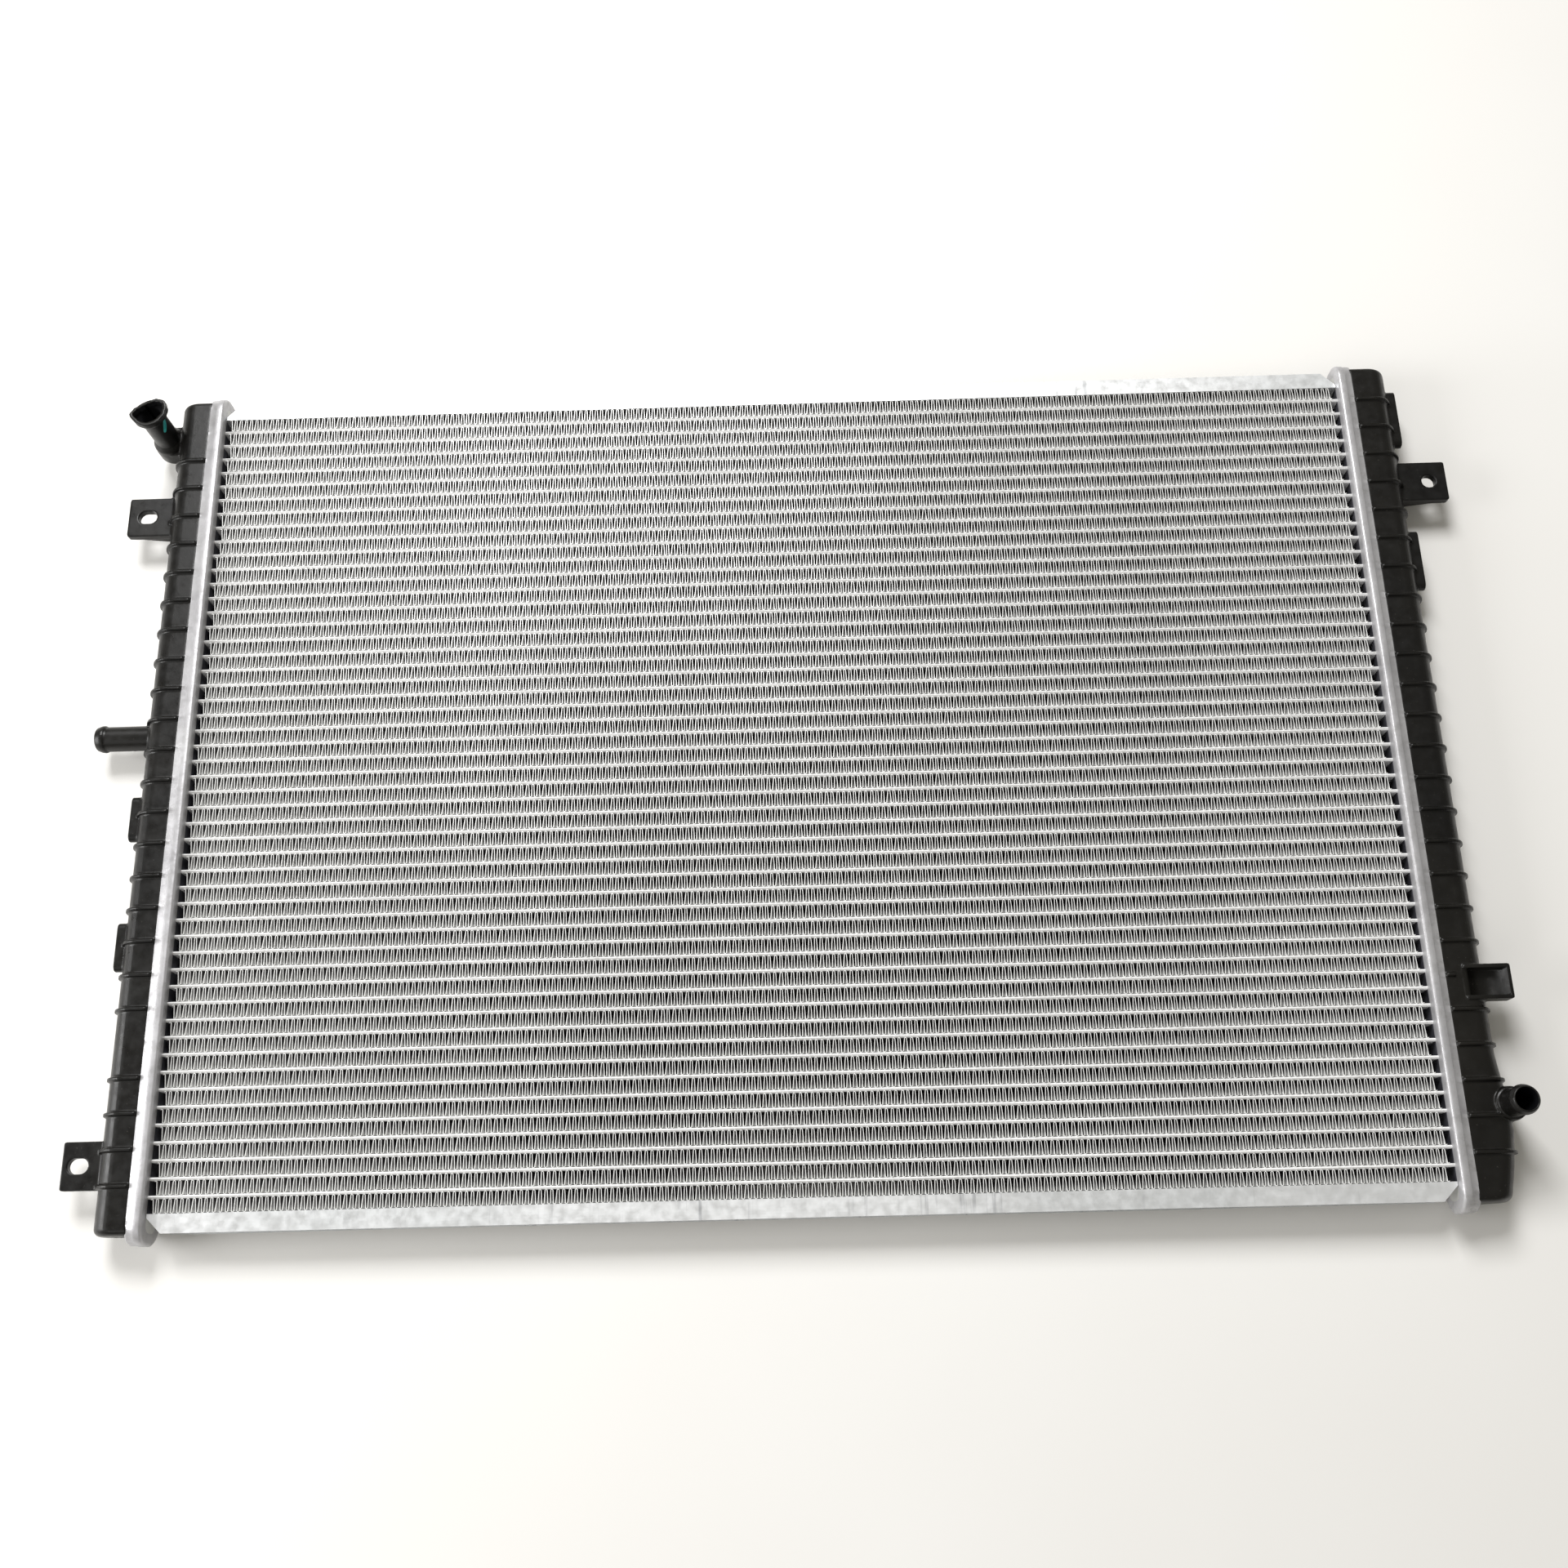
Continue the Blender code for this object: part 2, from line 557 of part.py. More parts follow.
def inlet_solids(reach):
    """A boss on the tank's side, a shank that rises from it and a keyed collar on top."""
    place = (outward(-1, reach + INLET_STAND), from_top(INLET_FROM_TOP), 0)
    boss_profile = ((0, INLET_BOSS_HALF_DEPTH), (INLET_SHANK_RADIUS, INLET_BOSS_HALF_DEPTH),
                    (INLET_BOSS_RADIUS, INLET_BOSS_HALF_DEPTH - INLET_BOSS_TAPER),
                    (INLET_BOSS_RADIUS, INLET_BOSS_TAPER - INLET_BOSS_HALF_DEPTH),
                    (INLET_SHANK_RADIUS, -INLET_BOSS_HALF_DEPTH), (0, -INLET_BOSS_HALF_DEPTH))
    boss = turned_solid("inlet_boss", boss_profile, ALONG_Z, place)
    shank_profile = ((0, INLET_TOP), (INLET_SHANK_RADIUS, INLET_TOP), (INLET_SHANK_RADIUS, 0), (0, 0))
    shank = turned_solid("inlet_shank", shank_profile, ALONG_Z, place)
    outline = lobed_outline(COLLAR_WAIST_RADIUS, COLLAR_RADIUS, COLLAR_LOBES, COLLAR_LOBE_SPREAD)
    collar_place = (place[0], place[1], INLET_TOP - COLLAR_THICKNESS / 2 + CLEARANCE)
    collar = solid_from_outlines("inlet_collar", (outline,), COLLAR_THICKNESS, ALONG_Z, collar_place)
    bridge_end = outward(-1, reach - TANK_WALL)
    bridge_outline = rounded_rectangle(abs(place[0] - bridge_end) / 2, INLET_BOSS_RADIUS, OVERLAP,
                                       ((place[0] + bridge_end) / 2, place[1]), SMALL_ARC_STEPS)
    bridge = solid_from_outlines("inlet_bridge", (bridge_outline,), 2 * INLET_BRIDGE_HALF_DEPTH)
    return [boss, shank, collar, bridge]


def inlet_cuts(reach):
    """The bore down the shank, and the way from its foot into the tank."""
    x = outward(-1, reach + INLET_STAND)
    y = from_top(INLET_FROM_TOP)
    bottom = TANK_WALL - INLET_BOSS_HALF_DEPTH
    down = bore_cutter("inlet_bore", INLET_TOP - bottom + OVERLAP, ALONG_Z, (x, y, bottom))
    across_length = INLET_STAND + TANK_WALL + OVERLAP
    across = bore_cutter("inlet_way", across_length, TOWARDS_RIGHT, (x, y, 0), INLET_WAY_RADIUS)
    return [down, across]


def side_spigot_solids(reach):
    place = (outward(-1, reach), from_top(SIDE_SPIGOT_FROM_TOP), 0)
    profile = stub_profile(SIDE_SPIGOT_LENGTH, TANK_WALL / 2)
    return [turned_solid("side_spigot", profile, TOWARDS_LEFT, place)]


def side_spigot_cuts(reach):
    place = (outward(-1, reach - TANK_WALL - OVERLAP), from_top(SIDE_SPIGOT_FROM_TOP), 0)
    length = SIDE_SPIGOT_LENGTH + TANK_WALL + 2 * OVERLAP
    return [bore_cutter("side_spigot_bore", length, TOWARDS_LEFT, place)]


def right_tank(assembly):
    """Carries the outlet spigot, the socket bracket, a bored tab and two lugs."""
    reach = RIGHT_TANK_REACH
    hole = circle(TAB_SLOT_WIDTH / 2, (0, 0))
    tip, hole_stand, distance = RIGHT_TAB
    additions = mounting_tab(1, reach, tip, hole_stand, from_top(distance), hole)
    additions += lugs(1, reach, RIGHT_LUGS) + outlet_solids(reach) + [outlet_belly(assembly, reach)]
    additions.append(socket_block("socket", reach))
    cuts = outlet_cuts(reach) + socket_cuts(reach)
    hoops = [(rib_y(index), reach + belly_stand(rib_y(index))) for index in range(RIB_COUNT)]
    filled = [socket_block("socket_backing", reach)]
    make_tank(assembly, "right_tank", 1, reach, RIGHT_TANK_TAPER, hoops, additions, cuts, filled)


def belly_stand(y):
    """How far the right tank's belly stands off its wall at this Y."""
    distance = y - from_foot(0)
    for (start, low), (end, high) in zip(BELLY, BELLY[1:]):
        if start <= distance <= end:
            return max(0.0, low + (high - low) * (distance - start) / (end - start))
    return 0.0


def outlet_belly(assembly, reach):
    """The right tank's section standing further out round the outlet, trimmed to the belly's outline."""
    section = tank_section(1, reach - TANK_NOSE, reach + BELLY_LIMIT, BODY_HALF_DEPTH - CLEARANCE, TANK_NOSE)
    bottom = from_foot(BELLY[0][0])
    top = from_foot(BELLY[-1][0])
    belly = solid_from_outlines("outlet_belly", (section,), top - bottom, ALONG_Y, (0, (bottom + top) / 2, 0))
    outline = [(outward(1, reach + stand), from_foot(distance)) for distance, stand in BELLY]
    inner = outward(1, reach - TANK_WALL + CLEARANCE)
    outline += [(inner, top), (inner, bottom)]
    assembly.combine(belly, [solid_from_outlines("belly_outline", (outline,), 2 * HEADER_DEPTH)], "INTERSECT")
    return belly


def outlet_solids(reach):
    """A boss at the tank's wall and the spigot that rises from it."""
    place = (outward(1, reach + OUTLET_STAND), from_foot(OUTLET_FROM_FOOT), 0)
    boss_profile = ((0, OUTLET_BOSS_TOP), (OUTLET_BOSS_RADIUS, OUTLET_BOSS_TOP),
                    (OUTLET_BOSS_RADIUS, OUTLET_BOSS_BOTTOM), (0, OUTLET_BOSS_BOTTOM))
    boss = turned_solid("outlet_boss", boss_profile, ALONG_Z, place)
    spigot_place = (place[0], place[1], OUTLET_BOSS_TOP)
    spigot = turned_solid("outlet_spigot", stub_profile(OUTLET_TOP - OUTLET_BOSS_TOP, OVERLAP), ALONG_Z,
                          spigot_place)
    return [boss, spigot]


def outlet_cuts(reach):
    place = (outward(1, reach + OUTLET_STAND), from_foot(OUTLET_FROM_FOOT), TANK_WALL + OUTLET_BOSS_BOTTOM)
    return [bore_cutter("outlet_bore", OUTLET_TOP - place[2] + OVERLAP, ALONG_Z, place)]


def socket_centre(reach):
    return (outward(1, reach + SOCKET_STAND), from_foot(SOCKET_FROM_FOOT))


def socket_block(name, reach):
    """The box on the tank's outer shoulder before its room is cut from the front."""
    depth = SOCKET_DEPTH + SOCKET_FLOOR
    block = rounded_rectangle(SOCKET_WIDTH / 2, SOCKET_HEIGHT / 2, SOCKET_CORNER, socket_centre(reach),
                              SMALL_ARC_STEPS)
    return solid_from_outlines(name, (block,), depth, ALONG_Z, (0, 0, SOCKET_FRONT - depth / 2))


def socket_cuts(reach):
    room = rounded_rectangle(SOCKET_WIDTH / 2 - SOCKET_WALL, SOCKET_HEIGHT / 2 - SOCKET_WALL,
                             SOCKET_ROOM_CORNER, socket_centre(reach), SMALL_ARC_STEPS)
    depth = SOCKET_DEPTH + OVERLAP
    place = (0, 0, SOCKET_FRONT - SOCKET_DEPTH + depth / 2)
    return [solid_from_outlines("socket_room", (room,), depth, ALONG_Z, place)]


def build():
    clear_scene()
    assembly = Assembly()
    make_tubes(assembly)
    make_side_plate(assembly, "top_side_plate", 1)
    make_side_plate(assembly, "bottom_side_plate", -1)
    make_header(assembly, "left_header", -1)
    make_header(assembly, "right_header", 1)
    make_gasket(assembly, "left_gasket", -1)
    make_gasket(assembly, "right_gasket", 1)
    left_tank(assembly)
    right_tank(assembly)
    assembly.finish()


build()
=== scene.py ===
"""The looks of a cross-flow car radiator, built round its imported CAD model.

It lies on its back on a pale floor. X runs along the tubes, Y across them, Z out of the front face.
On each side, "reach" is the distance outward from the inner face of that side's header.
"""
import math
import random

import bmesh
import bpy
from mathutils import Matrix, Vector


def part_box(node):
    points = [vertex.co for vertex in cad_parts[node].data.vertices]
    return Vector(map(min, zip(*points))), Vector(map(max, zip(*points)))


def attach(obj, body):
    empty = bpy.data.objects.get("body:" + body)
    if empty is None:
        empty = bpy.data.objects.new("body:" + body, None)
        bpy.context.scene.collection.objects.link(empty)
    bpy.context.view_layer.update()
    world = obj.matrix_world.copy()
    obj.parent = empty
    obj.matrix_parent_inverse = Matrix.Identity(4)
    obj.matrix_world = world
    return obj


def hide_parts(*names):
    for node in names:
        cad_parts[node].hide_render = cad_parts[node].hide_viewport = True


MM = 0.001
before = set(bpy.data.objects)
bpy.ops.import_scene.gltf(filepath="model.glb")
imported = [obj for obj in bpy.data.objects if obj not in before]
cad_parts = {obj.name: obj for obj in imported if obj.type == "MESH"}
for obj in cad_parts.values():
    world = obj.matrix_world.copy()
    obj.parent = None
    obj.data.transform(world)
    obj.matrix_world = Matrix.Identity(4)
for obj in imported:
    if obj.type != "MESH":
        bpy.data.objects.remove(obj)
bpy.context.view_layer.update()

# Places read from the frame
TUBE_LOW, TUBE_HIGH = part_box("tube_01")
HEADER_LOW, HEADER_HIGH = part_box("right_header")
FRONT_Z = TUBE_HIGH[2]
BACK_Z = TUBE_LOW[2]
MIDDLE_Z = (FRONT_Z + BACK_Z) / 2
INNER_X = HEADER_LOW[0]
HEADER_HEIGHT = HEADER_HIGH[0] - HEADER_LOW[0]
HEADER_HALF_DEPTH = (HEADER_HIGH[2] - HEADER_LOW[2]) / 2
HEADER_HALF_LENGTH = HEADER_HIGH[1]
TUBE_THICKNESS = TUBE_HIGH[1] - TUBE_LOW[1]
TUBE_PITCH = TUBE_LOW[1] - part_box("tube_02")[0][1]
TUBE_COUNT = sum(name.startswith("tube_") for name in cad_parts)
FIN_HEIGHT = TUBE_PITCH - TUBE_THICKNESS
CORE_TOP = TUBE_HIGH[1] + FIN_HEIGHT

# Header sizes
HEADER_CORNER = 12.0 * MM
RIM_STATIONS = 560
CORNER_STATIONS = 24
FLOOR_THICKNESS = 1.08 * MM
FLOOR_CENTRE = 0.6 * MM
FLOOR_INSET = 6.0 * MM
FLOOR_CORNER = 7.0 * MM
NOTCH_DEPTH = 0.9
NOTCH_HALF_WIDTH = 2.0 * MM
CRIMPED_REACH = 9.0
SHARP_ANGLE = math.radians(50)

# The header's rim in millimetres, as (inset from its outline, reach)
HEADER_SECTION = (
    (7.0, 0.0), (2.2, 0.0), (1.2, 0.15), (0.5, 0.5), (0.1, 1.1), (0.0, 1.6), (0.0, 4.5), (0.2, 4.9),
    (0.55, 5.2), (0.55, 8.5), (0.8, 9.3), (1.6, 9.85), (2.4, 10.0), (3.0, 9.6), (3.0, 8.9), (2.3, 8.7),
    (1.8, 8.2), (1.7, 5.8), (1.3, 4.9), (1.2, 3.4), (1.7, 1.9), (3.4, 1.2), (7.0, 1.2))

# Tank sizes
TANK_HALF_LENGTH = 260.5 * MM
TANK_HALF_DEPTH = 13.5 * MM
TANK_NOSE = 11.0 * MM
TANK_START = HEADER_HEIGHT + 0.3 * MM
TANK_ROUND_OFF = 4.0 * MM
TANK_STATIONS = 60
NECK_START = 3.0 * MM
NECK_INSET = 3.2 * MM
NECK_CORNER = 8.5 * MM
LEFT_REACH = 30.0 * MM
RIGHT_REACH = 33.0 * MM
RIB_HEIGHT = 1.7 * MM
RIB_THICKNESS = 2.0 * MM
RIB_COUNT = 25
RIB_PITCH = 2 * TUBE_PITCH
TOP_RIB_Y = CORE_TOP - TUBE_PITCH - 2.9 * MM
RIB_START = 9.3 * MM
LEFT_RIBS_LEFT_OUT = (0, 20)

# How the fused tanks are skinned
VOXEL = 0.5 * MM
SOFTENING_PASSES = 3
SKIN_SHARE = 0.35

# How far the right tank's wall stands off its usual line, as (Y, stand) in millimetres
RIGHT_WALL = ((-260.5, -3.5), (-246.0, 0.0), (-236.0, 2.0), (-222.0, 3.9), (-208.0, 3.7), (-194.0, 1.6),
              (-182.0, 0.0))

# Mounting tabs, as (reach of the tip, Y, reach of the hole), and lugs, as (Y, length)
TAB_THICKNESS = 5.0 * MM
TAB_HEIGHT = 26.8 * MM
TAB_RISE = 2.0 * MM
TAB_CORNER = 1.5 * MM
WEB_THICKNESS = 2.5 * MM
WEB_DEPTH = 6.5 * MM
SLOT_LENGTH = 11.8 * MM
SLOT_WIDTH = 8.8 * MM
LEFT_TABS = ((57.8 * MM, 182.0 * MM, 45.6 * MM), (51.6 * MM, -222.0 * MM, 42.6 * MM))
RIGHT_TAB = (62.0 * MM, 181.4 * MM, 50.8 * MM)
LUG_STAND = 4.6 * MM
LUG_WIDTH = 7.0 * MM
LUG_RISE = 3.0 * MM
LEFT_LUGS = ((-20.0 * MM, 28.0 * MM), (-98.0 * MM, 29.0 * MM))
RIGHT_LUGS = ((226.4 * MM, 40.0 * MM), (126.4 * MM, 40.0 * MM))

# Hose stubs, their heights measured from the tanks' middle plane
AXIS_CLEARANCE = 0.01 * MM
SPIGOT_RADIUS = 7.6 * MM
BARB_RADIUS = 8.3 * MM
INLET_REACH = 36.5 * MM
INLET_Y = 236.4 * MM
BOSS_RADIUS = 10.4 * MM
BOSS_HALF_HEIGHT = 9.0 * MM
SHANK_RADIUS = 7.8 * MM
SHANK_TOP = 37.0 * MM
COLLAR_THICKNESS = 4.3 * MM
COLLAR_MIDDLE = 37.65 * MM
COLLAR_WALL = 2.3 * MM
MOUTH_DEPTH = 5.0 * MM
MOUTH_MIDDLE = 38.6 * MM
INLET_BORE = 6.3 * MM
INLET_BORE_FOOT = -6.0 * MM
BRIDGE_DEPTH = 10.0 * MM
SIDE_SPIGOT_Y = 33.0 * MM
SIDE_SPIGOT_TIP = 62.0 * MM
SIDE_SPIGOT_BORE = 5.8 * MM
OUTLET_REACH = 33.8 * MM
OUTLET_Y = -208.3 * MM
OUTLET_BOSS_TOP = 15.0 * MM
OUTLET_LENGTH = 18.5 * MM
OUTLET_BORE = 6.2 * MM

# The inlet collar's outline, as (direction in degrees, radius in millimetres)
COLLAR = ((0, 10.0), (25, 11.4), (45, 12.3), (65, 11.0), (90, 9.2), (115, 8.5), (145, 9.0), (165, 10.8),
          (184, 12.4), (212, 10.6), (250, 9.6), (290, 8.8), (330, 9.0), (360, 10.0))

# The open socket on the right tank
SOCKET_REACH = 32.0 * MM
SOCKET_Y = -140.5 * MM
SOCKET_HALF_LENGTH = 13.25 * MM
SOCKET_HALF_WIDTH = 10.0 * MM
SOCKET_WALL = 2.2 * MM
SOCKET_DEPTH = 9.5 * MM
SOCKET_MIDDLE = 9.75 * MM
ROOM_MIDDLE = 12.0 * MM
ROOM_DEPTH = 9.0 * MM
SHOULDER_REACH = 20.0 * MM
SHOULDER_MIDDLE = 15.6 * MM

# The paint dab on the inlet's shank
PAINT_FOOT = 25.5 * MM
PAINT_TALL = 9.8 * MM
PAINT_SURFACES = ((7.7 * MM, 1), (8.0 * MM, -1))
PAINT_SPREAD = 11
PAINT_FOOT_ANGLE = -46
PAINT_TURN = 36
PAINT_ROWS = 16
PAINT_COLUMNS = 8

# Fins
FIN_WAVE = 3.35 * MM
LEFT_FIN_GAP = 1.5 * MM
RIGHT_FIN_GAP = 3.8 * MM
FIN_DEPTH = 15.2 * MM
FIN_SHEET = 0.36 * MM
FIN_CLEARANCE = 0.15 * MM
FIN_VARIANTS = 6
CREST_SHARE = 0.17
SHOULDER_LEVEL = 0.93
WAVE_JITTER = 0.07
LEAN = 0.05

# The louvred middle of each strip: how deep it starts, and its share of the room under a crest
LOUVRE_START = 1.8 * MM
LOUVRE_FILL = 0.78
LOUVRE_PITCH = 1.1 * MM

# A wave texture's repeats in each unit of length at scale 1
WAVE_REPEATS = 3.18

# Studio: the lights as (name, place, target, size, power), and the camera
LIGHTS = (("far_window", (-0.45, 1.5, 2.0), (0, 0, 0), 1.0, 60),
          ("left_window", (-1.9, -0.3, 0.8), (-0.4, 0, 0), 1.0, 31),
          ("front_fill", (-0.9, -1.8, 1.7), (-0.2, 0, 0), 1.2, 6))
SKY_COLOUR = (1.0, 0.965, 0.86, 1.0)
SKY_STRENGTH = 0.27
FLOOR_HALF_SIZE = 4.0
FLOOR_DROP = 0.5 * MM
CAMERA_LENS = 36.09
CAMERA_SENSOR = 36.0
CAMERA_PLACE = (0.00598, -0.30517, FRONT_Z + 0.8879)
CAMERA_TURN = (18.36, 1.01, -1.32)

ALONG_Z = Matrix.Identity(4)
ALONG_Y = Matrix(((1, 0, 0, 0), (0, 0, -1, 0), (0, 1, 0, 0), (0, 0, 0, 1)))
ALONG_X = Matrix(((0, 0, 1, 0), (1, 0, 0, 0), (0, 1, 0, 0), (0, 0, 0, 1)))
TOWARDS_LEFT = Matrix.Rotation(math.radians(-90), 4, "Y")


def outward(side, reach):
    """X of a plane at this reach; side is -1 on the left and 1 on the right."""
    return side * (INNER_X + reach)


# Materials

class Shader:
    """A Principled material and the few node chains that its looks need."""

    def __init__(self, name, roughness, metallic=0.0):
        self.material = bpy.data.materials.new(name)
        self.material.use_nodes = True
        self.nodes = self.material.node_tree.nodes
        self.links = self.material.node_tree.links
        self.surface = self.nodes["Principled BSDF"]
        self.surface.inputs["Metallic"].default_value = metallic
        self.surface.inputs["Roughness"].default_value = roughness
        coordinates = self.nodes.new("ShaderNodeTexCoord")
        self.place = coordinates.outputs["Object"]

    def stretched(self, scale):
        mapping = self.nodes.new("ShaderNodeMapping")
        mapping.inputs["Scale"].default_value = scale
        self.links.new(self.place, mapping.inputs["Vector"])
        return mapping.outputs["Vector"]

    def noise(self, scale, detail=3.0, roughness=0.55, stretch=None):
        node = self.nodes.new("ShaderNodeTexNoise")
        node.inputs["Scale"].default_value = scale
        node.inputs["Detail"].default_value = detail
        node.inputs["Roughness"].default_value = roughness
        self.links.new(self.stretched(stretch) if stretch else self.place, node.inputs["Vector"])
        return node.outputs["Fac"]

    def bands(self, period, direction):
        """A value that rises and falls once in each period along one axis."""
        node = self.nodes.new("ShaderNodeTexWave")
        node.bands_direction = direction
        node.inputs["Scale"].default_value = 1.0 / period / WAVE_REPEATS
        self.links.new(self.place, node.inputs["Vector"])
        return node.outputs["Fac"]

    def ramp(self, source, stops):
        node = self.nodes.new("ShaderNodeValToRGB")
        points = node.color_ramp.elements
        while len(points) < len(stops):
            points.new(0.5)
        for point, (position, colour) in zip(points, stops):
            point.position = position
            point.color = (*colour, 1.0)
        self.links.new(source, node.inputs["Fac"])
        return node.outputs["Color"]

    def spread(self, source, low, high, start=0.3, end=0.7):
        """Run from low to high while the source runs from start to end."""
        node = self.nodes.new("ShaderNodeMapRange")
        node.inputs["From Min"].default_value = start
        node.inputs["From Max"].default_value = end
        node.inputs["To Min"].default_value = low
        node.inputs["To Max"].default_value = high
        self.links.new(source, node.inputs["Value"])
        return node.outputs["Result"]

    def mixed(self, share, first, second):
        """Blend from the first colour to the second, each an output socket or a plain colour."""
        node = self.nodes.new("ShaderNodeMix")
        node.data_type = "RGBA"
        factor, colour_a, colour_b = node.inputs[0], node.inputs[6], node.inputs[7]
        self.links.new(share, factor)
        for value, socket in ((first, colour_a), (second, colour_b)):
            if isinstance(value, bpy.types.NodeSocket):
                self.links.new(value, socket)
            else:
                socket.default_value = (*value, 1.0)
        return next(out for out in node.outputs if out.type == "RGBA")

    def axis(self, name):
        split = self.nodes.new("ShaderNodeSeparateXYZ")
        self.links.new(self.place, split.inputs["Vector"])
        return split.outputs[name]

    def size(self, name):
        """How far a point is from the object's middle along one axis."""
        node = self.nodes.new("ShaderNodeMath")
        node.operation = "ABSOLUTE"
        self.links.new(self.axis(name), node.inputs[0])
        return node.outputs["Value"]

    def painted_depth_shade(self, start, end, most):
        """A mask for painted shade deep in the core: from 0 at the front and back faces of the core to its
        most between those depths, in millimetres.
        """
        half = FIN_DEPTH / 2
        return self.spread(self.size("Z"), most, 0.0, half - end * MM, half - start * MM)

    def along_core(self, left, right):
        """One value at the core's left end, blending to another by its middle; it sets how strong the fins'
        painted shade is along the core.
        """
        return self.spread(self.axis("X"), left, right, 0.05 * INNER_X, 1.1 * INNER_X)

    def blend(self, share, first, second):
        """Blend from one value to another."""
        node = self.nodes.new("ShaderNodeMix")
        self.links.new(share, node.inputs[0])
        self.links.new(first, node.inputs[2])
        self.links.new(second, node.inputs[3])
        return node.outputs[0]

    def product(self, first, second):
        node = self.nodes.new("ShaderNodeMath")
        node.operation = "MULTIPLY"
        self.links.new(first, node.inputs[0])
        self.links.new(second, node.inputs[1])
        return node.outputs["Value"]

    def set(self, name, source):
        self.links.new(source, self.surface.inputs[name])

    def bumps(self, *layers):
        """Stack bump layers of (height, strength, distance) and feed them to the surface."""
        normal = None
        for height, strength, distance in layers:
            node = self.nodes.new("ShaderNodeBump")
            node.inputs["Strength"].default_value = strength
            node.inputs["Distance"].default_value = distance
            self.links.new(height, node.inputs["Height"])
            if normal:
                self.links.new(normal, node.inputs["Normal"])
            normal = node.outputs["Normal"]
        self.set("Normal", normal)


def plastic_material():
    """Black glass-filled nylon: a satin skin with a fine grain, flow marks and a little dust."""
    shader = Shader("moulded_black_plastic", 0.40)
    cloud = shader.noise(38, 4)
    flow = shader.noise(9, 3, stretch=(1, 0.25, 1))
    base = shader.ramp(cloud, ((0.30, (0.0022, 0.0020, 0.0021)), (0.72, (0.0065, 0.006, 0.0052))))
    dusty = shader.mixed(shader.spread(flow, 0.0, 0.5, 0.52, 0.78), base, (0.017, 0.0155, 0.012))
    specks = shader.spread(shader.noise(700, 2), 0.0, 0.5, 0.68, 0.80)
    shader.set("Base Color", shader.mixed(specks, dusty, (0.09, 0.085, 0.075)))
    shader.set("Roughness", shader.spread(shader.noise(160, 3), 0.27, 0.44))
    shader.surface.inputs["Specular IOR Level"].default_value = 0.32
    grain = shader.noise(2600, 2)
    shader.bumps((grain, 0.22, 0.00012), (shader.noise(220, 3), 0.14, 0.0004))
    return shader.material


def bore_material():
    """The tank's plastic inside the hose stubs, made near-black and dull: painted shade in the bores."""
    shader = Shader("bore_plastic", 0.8)
    # Painted shade: darker than the tank's own plastic, for the shade inside the bores.
    shade = shader.ramp(shader.noise(90, 3), ((0.3, (0.0015, 0.0015, 0.002)), (0.7, (0.004, 0.004, 0.005))))
    shader.set("Base Color", shade)
    shader.surface.inputs["Specular IOR Level"].default_value = 0.08
    shader.bumps((shader.noise(700, 2), 0.2, 0.0002),)
    return shader.material


def header_material():
    """Pressed and brazed aluminium: pale, matte, with faint flux bloom, dents and rolling lines."""
    shader = Shader("brazed_header", 0.42, 0.45)
    cloud = shader.noise(30, 5)
    base = shader.ramp(cloud, ((0.25, (0.38, 0.375, 0.39)), (0.5, (0.50, 0.495, 0.51)),
                               (0.8, (0.60, 0.60, 0.61))))
    stains = shader.spread(shader.noise(150, 5, 0.7), 0.0, 0.6, 0.52, 0.72)
    shader.set("Base Color", shader.mixed(stains, base, (0.30, 0.295, 0.29)))
    shader.set("Roughness", shader.spread(shader.noise(300, 3), 0.30, 0.52))
    rolled = shader.noise(400, 2, stretch=(6, 0.3, 6))
    shader.bumps((rolled, 0.15, 0.0002), (shader.noise(110, 4), 0.45, 0.0008))
    return shader.material


def side_plate_material():
    """Rolled aluminium channel with flux stains, scuffs and handling scratches."""
    shader = Shader("side_plate_aluminium", 0.40, 0.5)
    cloud = shader.noise(14, 6, stretch=(0.5, 1, 1))
    base = shader.ramp(cloud, ((0.28, (0.66, 0.68, 0.69)), (0.5, (0.76, 0.77, 0.78)),
                               (0.75, (0.84, 0.85, 0.86))))
    scuffs = shader.spread(shader.noise(60, 8, 0.75, stretch=(0.4, 1, 1)), 0.0, 0.5, 0.60, 0.76)
    scratches = shader.spread(shader.noise(330, 3, stretch=(1, 0.05, 1)), 0.0, 0.6, 0.56, 0.72)
    patches = shader.spread(shader.noise(22, 3), 0.0, 1.0, 0.48, 0.62)
    scuffed = shader.mixed(scuffs, base, (0.36, 0.37, 0.37))
    scratched = shader.mixed(shader.product(scratches, patches), scuffed, (0.30, 0.31, 0.33))
    shader.set("Base Color", scratched)
    shader.set("Roughness", shader.spread(shader.noise(180, 4), 0.28, 0.55))
    lines = shader.noise(700, 2, stretch=(0.05, 1, 1))
    shader.bumps((lines, 0.15, 0.0002), (shader.noise(45, 5), 0.3, 0.0008))
    return shader.material


def tube_material():
    """Brazed tube noses: pale with a pearly solder film and specks, with painted shade down between the fins.
    """
    shader = Shader("tube_aluminium", 0.42, 0.1)
    cloud = shader.noise(26, 5, stretch=(0.5, 1, 1))
    base = shader.ramp(cloud, ((0.3, (0.86, 0.86, 0.86)), (0.7, (0.97, 0.97, 0.97))))
    specks = shader.spread(shader.noise(500, 3, stretch=(0.6, 1, 1)), 0.0, 0.6, 0.60, 0.75)
    spotted = shader.mixed(specks, base, (0.42, 0.41, 0.38))
    # Painted shade: the tube goes near-black deep down between the fins.
    shader.set("Base Color", shader.mixed(shader.painted_depth_shade(0.5, 1.4, 0.99), spotted, (0.012, 0.012, 0.014)))
    shader.set("Roughness", shader.spread(shader.noise(240, 3), 0.3, 0.55))
    shader.bumps((shader.noise(300, 4, stretch=(0.3, 1, 1)), 0.3, 0.0003),)
    return shader.material


